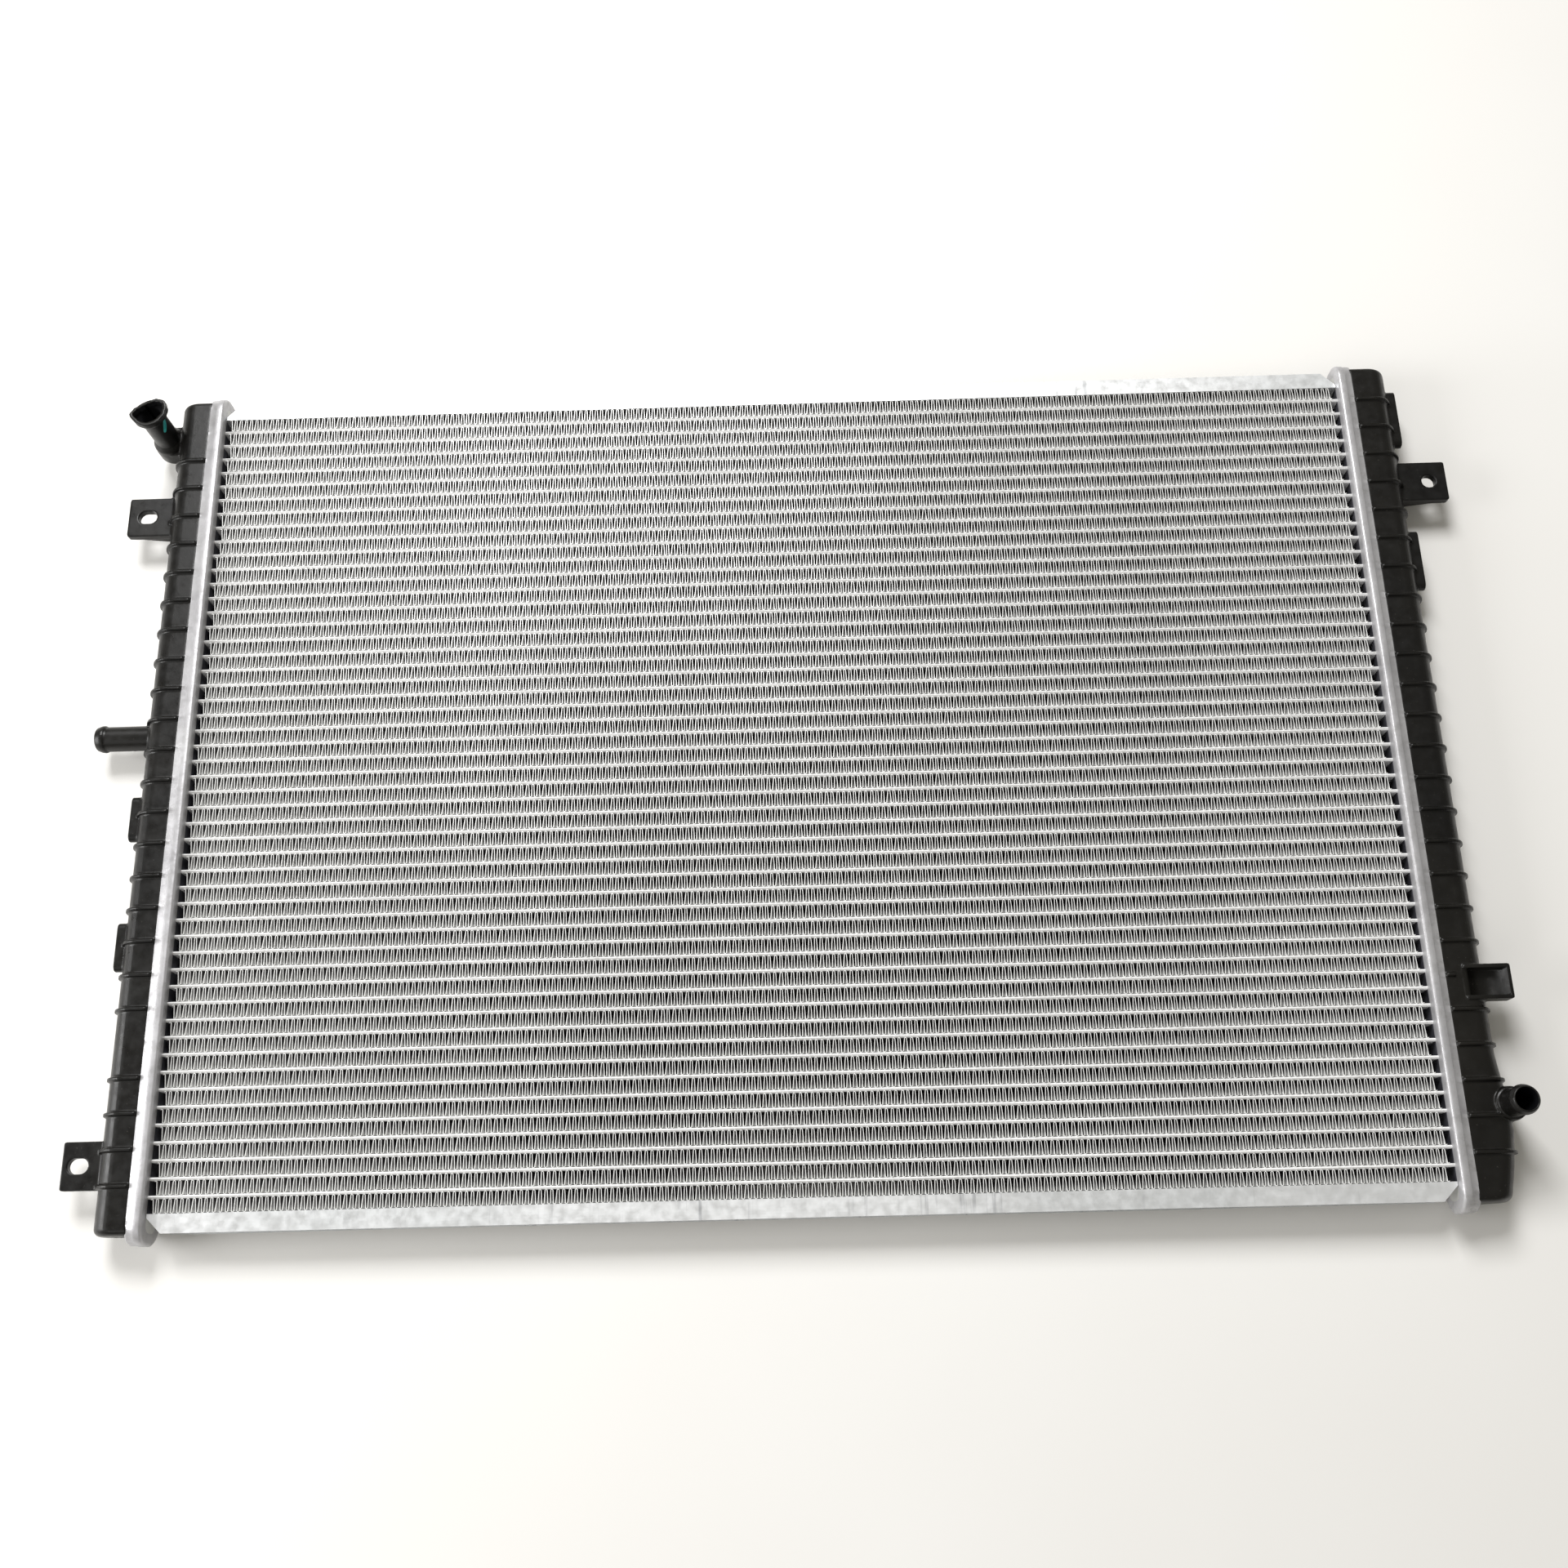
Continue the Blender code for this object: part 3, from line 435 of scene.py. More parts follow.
def fin_material():
    """Thin fin strip: bright edges, louvre slits painted dark as shade, dull patches, and painted shade deep
    in the core and under the tube above it, weaker towards the core's left end.
    """
    shader = Shader("fin_aluminium", 0.42, 0.15)
    cloud = shader.noise(9, 5)
    base = shader.ramp(cloud, ((0.3, (0.80, 0.80, 0.79)), (0.7, (0.96, 0.96, 0.95))))
    louvres = shader.bands(2 * LOUVRE_PITCH, "Z")
    # Painted shade: dark stripes along the depth stand for the shade seen in the louvre slits.
    slit_shade = shader.spread(louvres, 0.55, 0.0, 0.0, 0.35)
    speckle = shader.spread(shader.noise(420, 3), 0.0, 0.5, 0.52, 0.75)
    grimy = shader.mixed(speckle, base, (0.34, 0.33, 0.30))
    slit_shaded = shader.mixed(slit_shade, grimy, (0.10, 0.10, 0.10))
    # Painted shade deep in the core, stronger near the top of each row under the tube above, and weaker
    # towards the core's left end.
    height = shader.spread(shader.axis("Y"), 0.0, 1.0, -2.8 * MM, 1.2 * MM)
    shade = shader.blend(height, shader.painted_depth_shade(0.1, 3.6, 0.95), shader.painted_depth_shade(0.1, 0.9, 0.99))
    painted_shade_share = shader.product(shade, shader.along_core(0.7, 1.0))
    shader.set("Base Color", shader.mixed(painted_shade_share, slit_shaded, (0.006, 0.006, 0.007)))
    shader.set("Roughness", shader.spread(shader.noise(200, 3), 0.3, 0.5))
    shader.bumps((louvres, 0.5, 0.0003),)
    return shader.material


def header_floor_material():
    """The header's floor: painted dark round the tube ends as shade between the core and the rim, and plain
    pale aluminium beyond the core.
    """
    shader = Shader("header_floor", 0.55, 0.3)
    # Painted shade: near-black on the floor within the core's height, where the core and the rim shade it;
    # pale beyond the core.
    painted_shade_tone = shader.ramp(shader.noise(90, 4), ((0.3, (0.03, 0.03, 0.04)), (0.7, (0.12, 0.12, 0.14))))
    beyond = shader.spread(shader.size("Y"), 0.0, 1.0, CORE_TOP - 0.4 * MM, CORE_TOP + 0.6 * MM)
    shader.set("Base Color", shader.mixed(beyond, painted_shade_tone, (0.62, 0.62, 0.60)))
    shader.bumps((shader.noise(300, 3), 0.3, 0.0004),)
    return shader.material


def rubber_material():
    """Moulded black seal rubber."""
    shader = Shader("seal_rubber", 0.8)
    shade = shader.ramp(shader.noise(60, 3), ((0.3, (0.02, 0.02, 0.02)), (0.7, (0.035, 0.035, 0.035))))
    shader.set("Base Color", shade)
    shader.bumps((shader.noise(900, 2), 0.2, 0.0002),)
    return shader.material


def paint_material():
    """The dab of inspection paint on the inlet's shank."""
    shader = Shader("teal_paint", 0.35)
    shade = shader.noise(260, 3)
    shader.set("Base Color", shader.ramp(shade, ((0.3, (0.01, 0.20, 0.20)), (0.7, (0.05, 0.42, 0.40)))))
    shader.bumps((shader.noise(500, 2), 0.3, 0.0003),)
    return shader.material


def floor_material():
    """A plain pale studio floor, a touch warmer where it is less bright."""
    shader = Shader("pale_floor", 0.6)
    cloud = shader.noise(2.2, 3)
    shader.set("Base Color", shader.ramp(cloud, ((0.3, (0.82, 0.805, 0.78)), (0.7, (0.85, 0.84, 0.82)))))
    shader.bumps((shader.noise(60, 3), 0.05, 0.0006),)
    return shader.material


# Meshes

def arc(centre, radius_x, radius_y, start, end, steps):
    """Points along part of an ellipse, from one direction to another in degrees."""
    points = []
    for i in range(steps + 1):
        angle = math.radians(start + (end - start) * i / steps)
        points.append((centre[0] + radius_x * math.cos(angle), centre[1] + radius_y * math.sin(angle)))
    return points


def rounded_rectangle(half_x, half_y, radius, centre=(0.0, 0.0), steps=8):
    """The outline of a rectangle with round corners."""
    points = []
    for side_x, side_y, start in ((1, 1, 0), (-1, 1, 90), (-1, -1, 180), (1, -1, 270)):
        middle = (centre[0] + side_x * (half_x - radius), centre[1] + side_y * (half_y - radius))
        points += arc(middle, radius, radius, start, start + 90, steps)
    return points


def flat_oval(length, width, centre=(0.0, 0.0), steps=12):
    """The outline of a slot: straight sides and round ends."""
    radius = width / 2
    straight = length / 2 - radius
    points = arc((straight, 0), radius, radius, -90, 90, steps)
    points += arc((-straight, 0), radius, radius, 90, 270, steps)
    return [(centre[0] + x, centre[1] + y) for x, y in points]


def circle(radius, steps=48):
    """The outline of a round hole."""
    return arc((0.0, 0.0), radius, radius, 0, 360 - 360 / steps, steps - 1)


def collar_radius(angle):
    """The inlet collar's radius in one direction, eased between the directions that shape it."""
    for (start, low), (end, high) in zip(COLLAR, COLLAR[1:]):
        if start <= angle < end:
            share = (1 - math.cos(math.pi * (angle - start) / (end - start))) / 2
            return (low + (high - low) * share) * MM
    raise ValueError("the direction is not on the collar")


def collar_outline(centre, inset, steps=96):
    """The inlet collar's three-cornered outline, drawn in by an inset."""
    points = []
    for i in range(steps):
        angle = 360.0 * i / steps
        radius = collar_radius(angle) - inset
        turn = math.radians(angle)
        points.append((centre[0] + radius * math.cos(turn), centre[1] + radius * math.sin(turn)))
    return points


def new_object(name, mesh, material, smooth=True):
    """Put a finished mesh in the scene, riding on the radiator; a mesh keeps materials it already has."""
    piece = bpy.data.objects.new(name, mesh)
    bpy.context.scene.collection.objects.link(piece)
    if not mesh.materials:
        mesh.materials.append(material)
    if smooth:
        mesh.shade_smooth()
    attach(piece, "root")
    return piece


def extruded(outlines, thickness, facing=ALONG_Z, place=(0, 0, 0)):
    """A solid from flat outlines, the first the rim and the rest holes, centred on place."""
    curve = bpy.data.curves.new("outline", "CURVE")
    curve.dimensions = "2D"
    curve.fill_mode = "BOTH"
    curve.extrude = thickness / 2
    for outline in outlines:
        spline = curve.splines.new("POLY")
        spline.points.add(len(outline) - 1)
        for point, (x, y) in zip(spline.points, outline):
            point.co = (x, y, 0, 1)
        spline.use_cyclic_u = True
    drawn = bpy.data.objects.new("outline", curve)
    bpy.context.scene.collection.objects.link(drawn)
    bpy.context.view_layer.update()
    mesh = bpy.data.meshes.new_from_object(drawn.evaluated_get(bpy.context.evaluated_depsgraph_get()))
    mesh.transform(Matrix.Translation(place) @ facing)
    bpy.data.objects.remove(drawn)
    return mesh


def lofted(rings, capped=True):
    """A solid through rings of the same number of points."""
    shape = bmesh.new()
    rows = [[shape.verts.new(point) for point in ring] for ring in rings]
    count = len(rows[0])
    pairs = list(zip(rows, rows[1:]))
    if not capped:
        pairs.append((rows[-1], rows[0]))
    for lower, upper in pairs:
        for i in range(count):
            j = (i + 1) % count
            shape.faces.new((lower[i], lower[j], upper[j], upper[i]))
    if capped:
        shape.faces.new(rows[0])
        shape.faces.new(rows[-1])
    bmesh.ops.recalc_face_normals(shape, faces=shape.faces)
    mesh = bpy.data.meshes.new("lofted")
    shape.to_mesh(mesh)
    shape.free()
    return mesh


def turned(profile, facing=ALONG_Z, place=(0, 0, 0), steps=64):
    """Turn a closed profile of (radius, height) points round local Z."""
    rings = []
    move = Matrix.Translation(place) @ facing
    for i in range(steps):
        angle = 2 * math.pi * i / steps
        rings.append([move @ Vector((r * math.cos(angle), r * math.sin(angle), h)) for r, h in profile])
    return lofted(rings, capped=False)


def joined(name, solids):
    """One loose object holding all the solids."""
    shape = bmesh.new()
    for solid in solids:
        shape.from_mesh(solid)
        bpy.data.meshes.remove(solid)
    mesh = bpy.data.meshes.new(name)
    shape.to_mesh(mesh)
    shape.free()
    raw = bpy.data.objects.new(name, mesh)
    bpy.context.scene.collection.objects.link(raw)
    return raw


def moulded(name, solids, rooms, bores, materials):
    """Fuse overlapping solids into one softly rounded skin, then cut its rooms and its bores, which take the
    second material, painted darker as shade.
    """
    for bore in bores:
        for face in bore.polygons:
            face.material_index = 1
    raw = joined(name + "_raw", solids)
    cutter = joined(name + "_cuts", rooms + bores)
    raw.data.materials.append(materials[0])
    for material in materials:
        cutter.data.materials.append(material)
    remesh = raw.modifiers.new("fuse", "REMESH")
    remesh.mode = "VOXEL"
    remesh.voxel_size = VOXEL
    soften = raw.modifiers.new("soften", "SMOOTH")
    soften.factor = 0.5
    soften.iterations = SOFTENING_PASSES
    thin = raw.modifiers.new("thin", "DECIMATE")
    thin.ratio = SKIN_SHARE
    hole = raw.modifiers.new("holes", "BOOLEAN")
    hole.operation = "DIFFERENCE"
    hole.object = cutter
    hole.solver = "EXACT"
    hole.material_mode = "TRANSFER"
    hole.use_self = True
    bpy.context.view_layer.update()
    skin = bpy.data.meshes.new_from_object(raw.evaluated_get(bpy.context.evaluated_depsgraph_get()))
    bpy.data.objects.remove(raw)
    bpy.data.objects.remove(cutter)
    skin.name = name
    return new_object(name, skin, materials[0])


# Core

def fin_path(count, wave, height, seed):
    """The strip's fold line: three points at each crest and trough, never quite repeating."""
    draw = random.Random(seed)
    points = []
    half = wave / 2
    crest = CREST_SHARE * wave
    rise = height / 2 - 0.08 * MM
    for i in range(count):
        x = i * wave + draw.uniform(-WAVE_JITTER, WAVE_JITTER) * wave
        lean = draw.uniform(-LEAN, LEAN) * wave
        for middle, level in ((x, rise), (x + half + lean, -rise)):
            points.append((middle - crest, level * SHOULDER_LEVEL))
            points.append((middle, level))
            points.append((middle + crest, level * SHOULDER_LEVEL))
    return points


def louvre_reach(path, i):
    """How far the strip's louvred middle spreads under the next crest, at one point of its path."""
    role = i % 6
    if role == 3:
        return (path[i - 2][0] - path[i][0]) * LOUVRE_FILL
    if role == 5 and i + 2 < len(path):
        return (path[i + 2][0] - path[i][0]) * LOUVRE_FILL
    return 0.0


def fold_sides(path):
    """The two faces of the sheet on either side of its fold line."""
    upper = []
    lower = []
    for i, (x, y) in enumerate(path):
        before = path[max(i - 1, 0)]
        after = path[min(i + 1, len(path) - 1)]
        along = Vector((after[0] - before[0], after[1] - before[1])).normalized()
        offset = Vector((-along.y, along.x)) * FIN_SHEET / 2
        upper.append((x + offset.x, y + offset.y))
        lower.append((x - offset.x, y - offset.y))
    return upper, lower


def fin_mesh(seed, length, height):
    """A closed thin strip folded along its path, as deep as the tubes."""
    count = int(round(length / FIN_WAVE))
    path = fin_path(count, length / count, height, seed)
    upper, lower = fold_sides(path)
    rings = []
    edge = FIN_DEPTH / 2
    inner = edge - LOUVRE_START
    for i, ((upper_x, upper_y), (lower_x, lower_y)) in enumerate(zip(upper, lower)):
        filled_x = lower_x + louvre_reach(path, i)
        rings.append([(upper_x, upper_y, -edge), (lower_x, lower_y, -edge),
                      (filled_x, lower_y, -inner), (filled_x, lower_y, inner),
                      (lower_x, lower_y, edge), (upper_x, upper_y, edge)])
    mesh = lofted(rings)
    mesh.name = f"fin_strip_{seed}"
    return mesh


def make_fins(material):
    """A folded strip in each gap between the tubes and under the side plates."""
    length = 2 * INNER_X - LEFT_FIN_GAP - RIGHT_FIN_GAP
    strips = [fin_mesh(seed, length, FIN_HEIGHT - FIN_CLEARANCE) for seed in range(FIN_VARIANTS)]
    draw = random.Random(11)
    for row in range(TUBE_COUNT + 1):
        mesh = strips[row % FIN_VARIANTS]
        strip = new_object(f"fin_row_{row + 1:02d}", mesh, material, False)
        shift = draw.uniform(-0.5, 0.5) * FIN_WAVE / 2
        y = CORE_TOP - FIN_HEIGHT / 2 - row * TUBE_PITCH
        strip.location = (LEFT_FIN_GAP - INNER_X + FIN_WAVE / 2 + shift, y, MIDDLE_Z)


# Header pans

def rim_outline():
    """The header's rim as (y, z, inward y, inward z), with points close enough for the crimps."""
    corner_y = HEADER_HALF_LENGTH - HEADER_CORNER
    corner_z = HEADER_HALF_DEPTH - HEADER_CORNER
    rim = []
    for sign in (1, -1):
        for i in range(RIM_STATIONS):
            y = sign * (corner_y - 2 * corner_y * i / RIM_STATIONS)
            rim.append((y, sign * HEADER_HALF_DEPTH, 0, -sign))
        for i in range(CORNER_STATIONS):
            turn = math.radians(180 * i / CORNER_STATIONS)
            away_y = -sign * math.sin(turn)
            away_z = sign * math.cos(turn)
            middle_z = corner_z if away_z > 0 else -corner_z
            rim.append((-sign * corner_y + away_y * HEADER_CORNER, middle_z + away_z * HEADER_CORNER,
                        -away_y, -away_z))
    return rim


def rib_notch(y):
    """How deeply the rim's edge is dented at this Y, from 0 to 1: once at each rib's foot."""
    away = abs((TOP_RIB_Y - y + RIB_PITCH / 2) % RIB_PITCH - RIB_PITCH / 2)
    return max(0.0, 1 - (away / NOTCH_HALF_WIDTH) ** 4)


def header_rings(side, seed):
    """The header's section all round its rim, its crimped edge ragged and dented at the ribs' feet."""
    draw = random.Random(seed)
    rings = []
    ragged = 0.0
    for y, z, in_y, in_z in rim_outline():
        ragged += 0.2 * (draw.uniform(-0.8, 0.5) - ragged)
        crimp = ragged - NOTCH_DEPTH * rib_notch(y)
        ring = []
        for inset, reach in HEADER_SECTION:
            x = outward(side, (reach + crimp if reach > CRIMPED_REACH else reach) * MM)
            ring.append((x, y + in_y * inset * MM, MIDDLE_Z + z + in_z * inset * MM))
        rings.append(ring)
    return rings


def make_header(name, side, material, shaded):
    """A pan whose rim is rolled at the core side, stepped, and crimped over the tank's foot."""
    pan = new_object(name, lofted(header_rings(side, name), capped=False), material)
    pan.data.set_sharp_from_angle(angle=SHARP_ANGLE)
    half_length = HEADER_HALF_LENGTH - FLOOR_INSET
    outline = rounded_rectangle(half_length, HEADER_HALF_DEPTH - FLOOR_INSET, FLOOR_CORNER)
    floor = extruded((outline,), FLOOR_THICKNESS, ALONG_X, (outward(side, FLOOR_CENTRE), 0, MIDDLE_Z))
    return pan, new_object(name + "_floor", floor, shaded, False)


# Tanks

def tank_ring(side, y, reach, half_depth, nose, start, steps=18):
    """The tank's section at one Y: flat at its open side, half round at its nose."""
    x = outward(side, start)
    points = [(x, y, MIDDLE_Z + half_depth), (x, y, MIDDLE_Z - half_depth)]
    for out, z in arc((reach - nose, 0), nose, half_depth, -90, 90, steps):
        points.append((outward(side, out), y, MIDDLE_Z + z))
    return points


def tank_stations():
    """The Y of each section of a tank's body, close together where its ends round over."""
    start = -TANK_HALF_LENGTH + TANK_ROUND_OFF
    step = (TANK_HALF_LENGTH - TANK_ROUND_OFF) * 2 / TANK_STATIONS
    turns = [math.radians(angle) for angle in range(0, 91, 15)]
    stations = [-TANK_HALF_LENGTH + TANK_ROUND_OFF * (1 - math.cos(turn)) for turn in turns]
    stations += [start + step * i for i in range(1, TANK_STATIONS)]
    stations += [TANK_HALF_LENGTH - TANK_ROUND_OFF * (1 - math.sin(turn)) for turn in turns]
    return stations


def tank_body(side, reach_at):
    """The half-round trough, its ends rounded over."""
    rings = []
    for y in tank_stations():
        share = min(1.0, max(0.0, (TANK_HALF_LENGTH - abs(y)) / TANK_ROUND_OFF))
        drop = TANK_ROUND_OFF * (1 - math.sqrt(1 - (1 - share) ** 2))
        rings.append(tank_ring(side, y, reach_at(y) - drop, TANK_HALF_DEPTH - drop, TANK_NOSE,
                               TANK_START - 2 * MM))
    return lofted(rings)


def tank_rib(side, y, reach):
    """One thin rib that wraps the tank's front, nose and back."""
    section = tank_ring(side, 0, reach + RIB_HEIGHT, TANK_HALF_DEPTH + RIB_HEIGHT, TANK_NOSE + RIB_HEIGHT,
                        RIB_START)
    rings = []
    for shift in (-0.5, 0.5):
        rings.append([(x, y + shift * RIB_THICKNESS, z) for x, _, z in section])
    return lofted(rings)


def tank_neck(side):
    """The tank's foot, held inside the header's rim."""
    outline = rounded_rectangle(HEADER_HALF_LENGTH - NECK_INSET, HEADER_HALF_DEPTH - NECK_INSET, NECK_CORNER)
    length = TANK_START - NECK_START
    return extruded((outline,), length, ALONG_X, (outward(side, NECK_START + length / 2), 0, MIDDLE_Z))


def tab(side, reach, place, hole):
    """A flat ear with a hole, and a web under its lower edge that deepens towards the tank."""
    tip_reach, y, hole_reach = place
    z = MIDDLE_Z + TAB_RISE
    root = outward(side, reach - 1.5 * MM)
    tip = outward(side, tip_reach)
    rim = rounded_rectangle(abs(tip - root) / 2, TAB_HEIGHT / 2, TAB_CORNER, ((tip + root) / 2, y))
    opening = [(outward(side, hole_reach) + dx, y + dy) for dx, dy in hole]
    ear = extruded((rim, opening), TAB_THICKNESS, ALONG_Z, (0, 0, z))
    back = -TAB_THICKNESS / 2
    end = tip - side * 1.5 * MM
    web_outline = ((root, back + 1 * MM), (root, back - WEB_DEPTH), (end, back), (end, back + 1 * MM))
    web = extruded((web_outline,), WEB_THICKNESS, ALONG_Y, (0, y - TAB_HEIGHT / 2 + 2 * MM, z))
    return [ear, web]


def lug(side, reach, place):
    """A low flat-sided pad on the tank's nose."""
    y, length = place
    outline = flat_oval(length, LUG_WIDTH, (y, MIDDLE_Z + LUG_RISE))
    root = reach - 2 * MM
    tip = reach + LUG_STAND
    return extruded((outline,), tip - root, ALONG_X, (outward(side, (root + tip) / 2), 0, 0))


def plug_profile(radius, low, high):
    """The closed section of a solid round plug."""
    return ((AXIS_CLEARANCE, high), (radius, high), (radius, low), (AXIS_CLEARANCE, low))


def spigot_profile(length, root, radius, barb, bore):
    """A hose spigot's closed section: barb ring, plain shank and bore."""
    return ((bore, length), (barb - 1.6 * MM, length), (barb - 0.9 * MM, length - 0.8 * MM),
            (barb, length - 3.5 * MM), (barb, length - 5.2 * MM), (radius, length - 6.2 * MM),
            (radius, -root), (bore, -root))


def inlet(side, reach):
    """A boss, the shank that rises from it and a rounded three-cornered collar."""
    x = outward(side, INLET_REACH)
    place = (x, INLET_Y, MIDDLE_Z)
    boss = turned(((AXIS_CLEARANCE, BOSS_HALF_HEIGHT), (8.4 * MM, BOSS_HALF_HEIGHT), (10.0 * MM, 6.5 * MM),
                   (BOSS_RADIUS, 2 * MM), (BOSS_RADIUS, -5.0 * MM), (8.6 * MM, -BOSS_HALF_HEIGHT),
                   (AXIS_CLEARANCE, -BOSS_HALF_HEIGHT)), ALONG_Z, place)
    shank = turned(plug_profile(SHANK_RADIUS, BOSS_HALF_HEIGHT - 1 * MM, SHANK_TOP), ALONG_Z, place)
    outline = collar_outline((x, INLET_Y), 0)
    collar = extruded((outline,), COLLAR_THICKNESS, ALONG_Z, (0, 0, MIDDLE_Z + COLLAR_MIDDLE))
    inner = outward(side, reach - 2.5 * MM)
    bridge_centre = ((x + inner) / 2, INLET_Y)
    bridge_outline = rounded_rectangle(abs(x - inner) / 2, BOSS_RADIUS, 1 * MM, bridge_centre)
    bridge = extruded((bridge_outline,), BRIDGE_DEPTH, ALONG_Z, (0, 0, MIDDLE_Z))
    return [boss, shank, collar, bridge]


def inlet_mouth(side):
    """What is cut from the inlet: its bore and the wide mouth of its collar."""
    x = outward(side, INLET_REACH)
    outline = collar_outline((x, INLET_Y), COLLAR_WALL)
    mouth = extruded((outline,), MOUTH_DEPTH, ALONG_Z, (0, 0, MIDDLE_Z + MOUTH_MIDDLE))
    profile = plug_profile(INLET_BORE, INLET_BORE_FOOT, SHANK_TOP)
    return [mouth, turned(profile, ALONG_Z, (x, INLET_Y, MIDDLE_Z))]


def side_spigot(side, reach):
    """The plain spigot that points away from the core, and what its bore cuts."""
    length = SIDE_SPIGOT_TIP - reach
    place = (outward(side, reach), SIDE_SPIGOT_Y, MIDDLE_Z)
    profile = spigot_profile(length, 2 * MM, SPIGOT_RADIUS, BARB_RADIUS, SIDE_SPIGOT_BORE)
    bore = plug_profile(SIDE_SPIGOT_BORE, -10 * MM, length + 2 * MM)
    return turned(profile, TOWARDS_LEFT, place), turned(bore, TOWARDS_LEFT, place)


def make_left_tank(material, bore_shade):
    """The inlet tank, with two slotted tabs, two lugs and the side spigot."""
    side = -1
    reach = LEFT_REACH
    slot = flat_oval(SLOT_LENGTH, SLOT_WIDTH)
    solids = [tank_body(side, lambda y: reach), tank_neck(side)]
    for index in range(RIB_COUNT):
        if index not in LEFT_RIBS_LEFT_OUT:
            solids.append(tank_rib(side, TOP_RIB_Y - index * RIB_PITCH, reach))
    for place in LEFT_TABS:
        solids += tab(side, reach, place, slot)
    for place in LEFT_LUGS:
        solids.append(lug(side, reach, place))
    solids += inlet(side, reach)
    spigot, bore = side_spigot(side, reach)
    solids.append(spigot)
    tank = moulded("left_end_tank", solids, [], inlet_mouth(side) + [bore], (material, bore_shade))
    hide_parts("left_tank")


def right_wall(y):
    """How far the right tank's wall stands off its usual line at this Y: a belly, then a taper."""
    y /= MM
    for (low_y, low), (high_y, high) in zip(RIGHT_WALL, RIGHT_WALL[1:]):
        if low_y <= y <= high_y:
            return (low + (high - low) * (y - low_y) / (high_y - low_y)) * MM
    return 0.0


def outlet(side):
    """The outlet's boss and its spigot, and what its bore cuts."""
    place = Vector((outward(side, OUTLET_REACH), OUTLET_Y, MIDDLE_Z))
    boss = turned(((AXIS_CLEARANCE, OUTLET_BOSS_TOP), (9.0 * MM, OUTLET_BOSS_TOP), (9.6 * MM, 12 * MM),
                   (9.6 * MM, -9 * MM), (AXIS_CLEARANCE, -9 * MM)), ALONG_Z, place)
    profile = spigot_profile(OUTLET_LENGTH, 1 * MM, SPIGOT_RADIUS, BARB_RADIUS, OUTLET_BORE)
    spigot = turned(profile, ALONG_Z, place + Vector((0, 0, OUTLET_BOSS_TOP)))
    bore = turned(plug_profile(OUTLET_BORE, -6 * MM, 36 * MM), ALONG_Z, place)
    return [boss, spigot], bore


def socket(side):
    """The open box on the tank, and what is cut from it: its room and the tank's shoulder."""
    centre = (outward(side, SOCKET_REACH), SOCKET_Y)
    shoulder_centre = (outward(side, SHOULDER_REACH), SOCKET_Y)
    room_half_width = SOCKET_HALF_WIDTH - SOCKET_WALL
    outer = rounded_rectangle(SOCKET_HALF_LENGTH, SOCKET_HALF_WIDTH, 1.2 * MM, centre)
    room = rounded_rectangle(SOCKET_HALF_LENGTH - SOCKET_WALL, room_half_width, 0.8 * MM, centre)
    shoulder = rounded_rectangle(6 * MM, room_half_width, 0.8 * MM, shoulder_centre)
    block = extruded((outer,), SOCKET_DEPTH, ALONG_Z, (0, 0, MIDDLE_Z + SOCKET_MIDDLE))
    rooms = [extruded((room,), ROOM_DEPTH, ALONG_Z, (0, 0, MIDDLE_Z + ROOM_MIDDLE)),
             extruded((shoulder,), 4 * MM, ALONG_Z, (0, 0, MIDDLE_Z + SHOULDER_MIDDLE))]
    return block, rooms


def make_right_tank(material, bore_shade):
    """The outlet tank, with one round-holed tab, two lugs and the socket."""
    side = 1
    reach = RIGHT_REACH
    solids = [tank_body(side, lambda y: reach + right_wall(y)), tank_neck(side)]
    for index in range(RIB_COUNT):
        y = TOP_RIB_Y - index * RIB_PITCH
        solids.append(tank_rib(side, y, reach + right_wall(y)))
    solids += tab(side, reach, RIGHT_TAB, circle(SLOT_WIDTH / 2))
    for place in RIGHT_LUGS:
        solids.append(lug(side, reach, place))
    stub, bore = outlet(side)
    block, rooms = socket(side)
    solids += stub
    solids.append(block)
    tank = moulded("right_end_tank", solids, rooms, [bore], (material, bore_shade))
    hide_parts("right_tank")


def make_paint(material):
    """A thin upright dab of paint that follows the inlet's shank up to its collar."""
    centre = Vector((outward(-1, INLET_REACH), INLET_Y, MIDDLE_Z))
    rings = []
    for i in range(PAINT_ROWS + 1):
        share = i / PAINT_ROWS
        height = PAINT_FOOT + PAINT_TALL * share
        spread = math.radians(PAINT_SPREAD) * math.sqrt(max(0.02, 1 - (2 * share - 1) ** 2 / 1.15))
        middle = math.radians(PAINT_FOOT_ANGLE + PAINT_TURN * share)
        ring = []
        for radius, order in PAINT_SURFACES:
            for j in range(PAINT_COLUMNS + 1):
                angle = middle + order * spread * (2 * j / PAINT_COLUMNS - 1)
                ring.append(centre + Vector((radius * math.cos(angle), radius * math.sin(angle), height)))
        rings.append(ring)
    new_object("paint_mark", lofted(rings), material)


# Stage

def make_stage():
    """The floor that the radiator lies on."""
    mesh = bpy.data.meshes.new("floor")
    shape = bmesh.new()
    bmesh.ops.create_grid(shape, x_segments=8, y_segments=8, size=FLOOR_HALF_SIZE)
    shape.to_mesh(mesh)
    shape.free()
    floor = bpy.data.objects.new("floor", mesh)
    floor.location = (0, 0, -FLOOR_DROP)
    bpy.context.scene.collection.objects.link(floor)
    mesh.materials.append(floor_material())


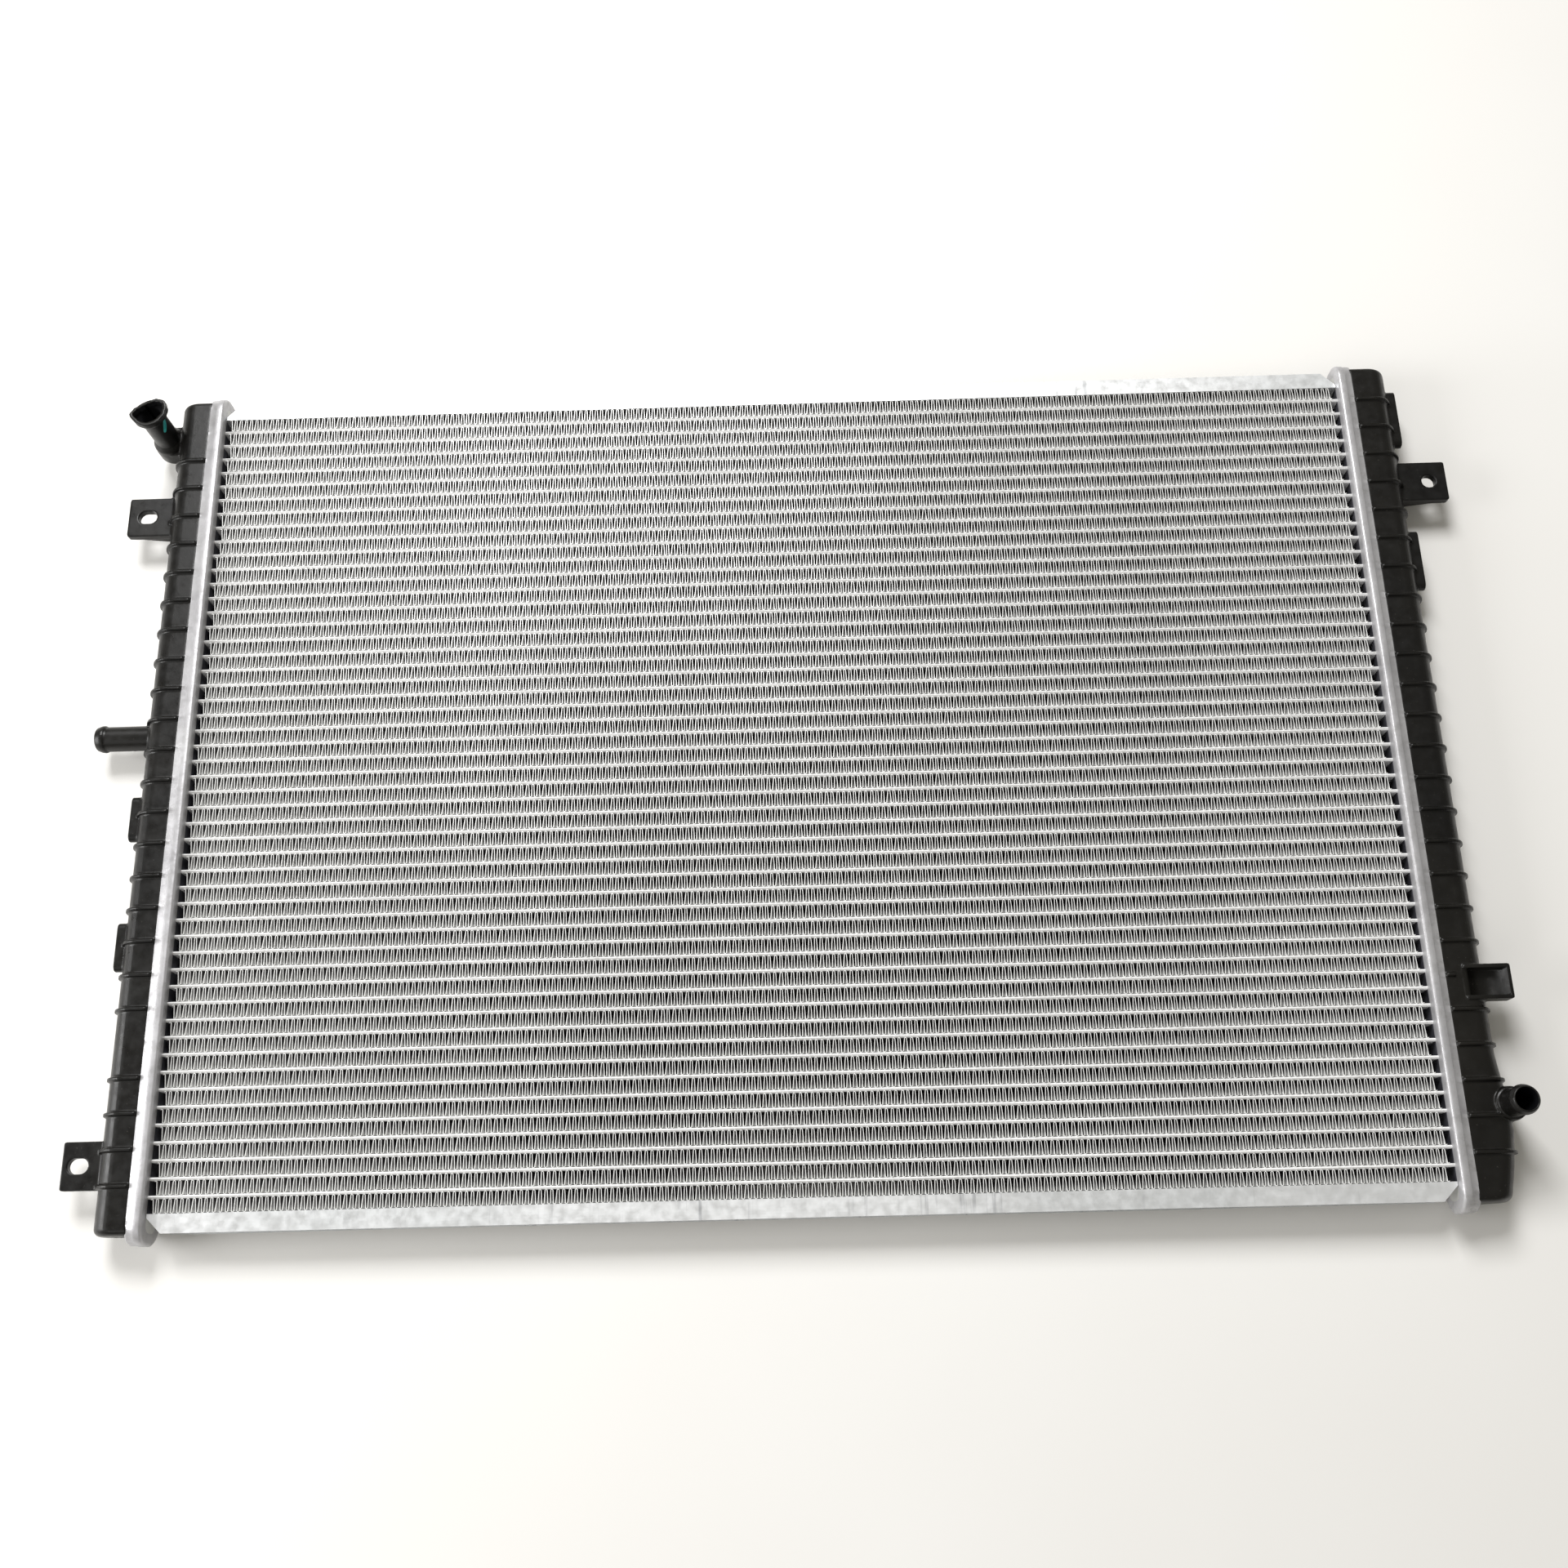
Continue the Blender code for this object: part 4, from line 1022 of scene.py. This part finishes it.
def area_light(name, place, target, size, power):
    """A square soft light that faces its target."""
    light = bpy.data.lights.new(name, "AREA")
    light.shape = "SQUARE"
    light.size = size
    light.energy = power
    lamp = bpy.data.objects.new(name, light)
    lamp.location = place
    lamp.rotation_euler = (Vector(target) - Vector(place)).to_track_quat("-Z", "Y").to_euler()
    bpy.context.scene.collection.objects.link(lamp)


def make_lights():
    """A dim warm sky and three soft windows."""
    world = bpy.data.worlds.new("studio")
    world.use_nodes = True
    background = world.node_tree.nodes["Background"]
    background.inputs["Color"].default_value = SKY_COLOUR
    background.inputs["Strength"].default_value = SKY_STRENGTH
    bpy.context.scene.world = world
    bpy.context.scene.view_settings.view_transform = "Standard"
    for light in LIGHTS:
        area_light(*light)


def make_camera():
    """The camera looks down on the core from beyond its lower edge."""
    data = bpy.data.cameras.new("camera")
    data.lens = CAMERA_LENS
    data.sensor_width = CAMERA_SENSOR
    camera = bpy.data.objects.new("camera", data)
    camera.location = CAMERA_PLACE
    camera.rotation_euler = [math.radians(angle) for angle in CAMERA_TURN]
    bpy.context.scene.collection.objects.link(camera)
    bpy.context.scene.camera = camera


def dress(node, material):
    """Give a carried-over CAD node its finished material."""
    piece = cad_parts[node]
    piece.data.materials.clear()
    piece.data.materials.append(material)
    return piece


def dress_cad_pieces():
    """The tubes, gaskets and side plates keep their CAD shapes."""
    tube = tube_material()
    plate = side_plate_material()
    rubber = rubber_material()
    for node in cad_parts:
        if node.startswith("tube_"):
            dress(node, tube)
        elif node.endswith("gasket"):
            dress(node, rubber)
        elif node.endswith("side_plate"):
            edges = dress(node, plate).modifiers.new("rolled_edges", "BEVEL")
            edges.width = 0.35 * MM
            edges.segments = 2
            edges.limit_method = "ANGLE"


def make_headers():
    """Both header pans and their floors."""
    header = header_material()
    shaded = header_floor_material()
    for name, side in (("left_header", -1), ("right_header", 1)):
        pan, floor = make_header(name + "_pan", side, header, shaded)
        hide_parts(name)
        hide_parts(name)


def main():
    make_camera()
    make_stage()
    make_lights()
    dress_cad_pieces()
    make_fins(fin_material())
    make_headers()
    plastic = plastic_material()
    bore_shade = bore_material()
    make_left_tank(plastic, bore_shade)
    make_right_tank(plastic, bore_shade)
    make_paint(paint_material())


main()
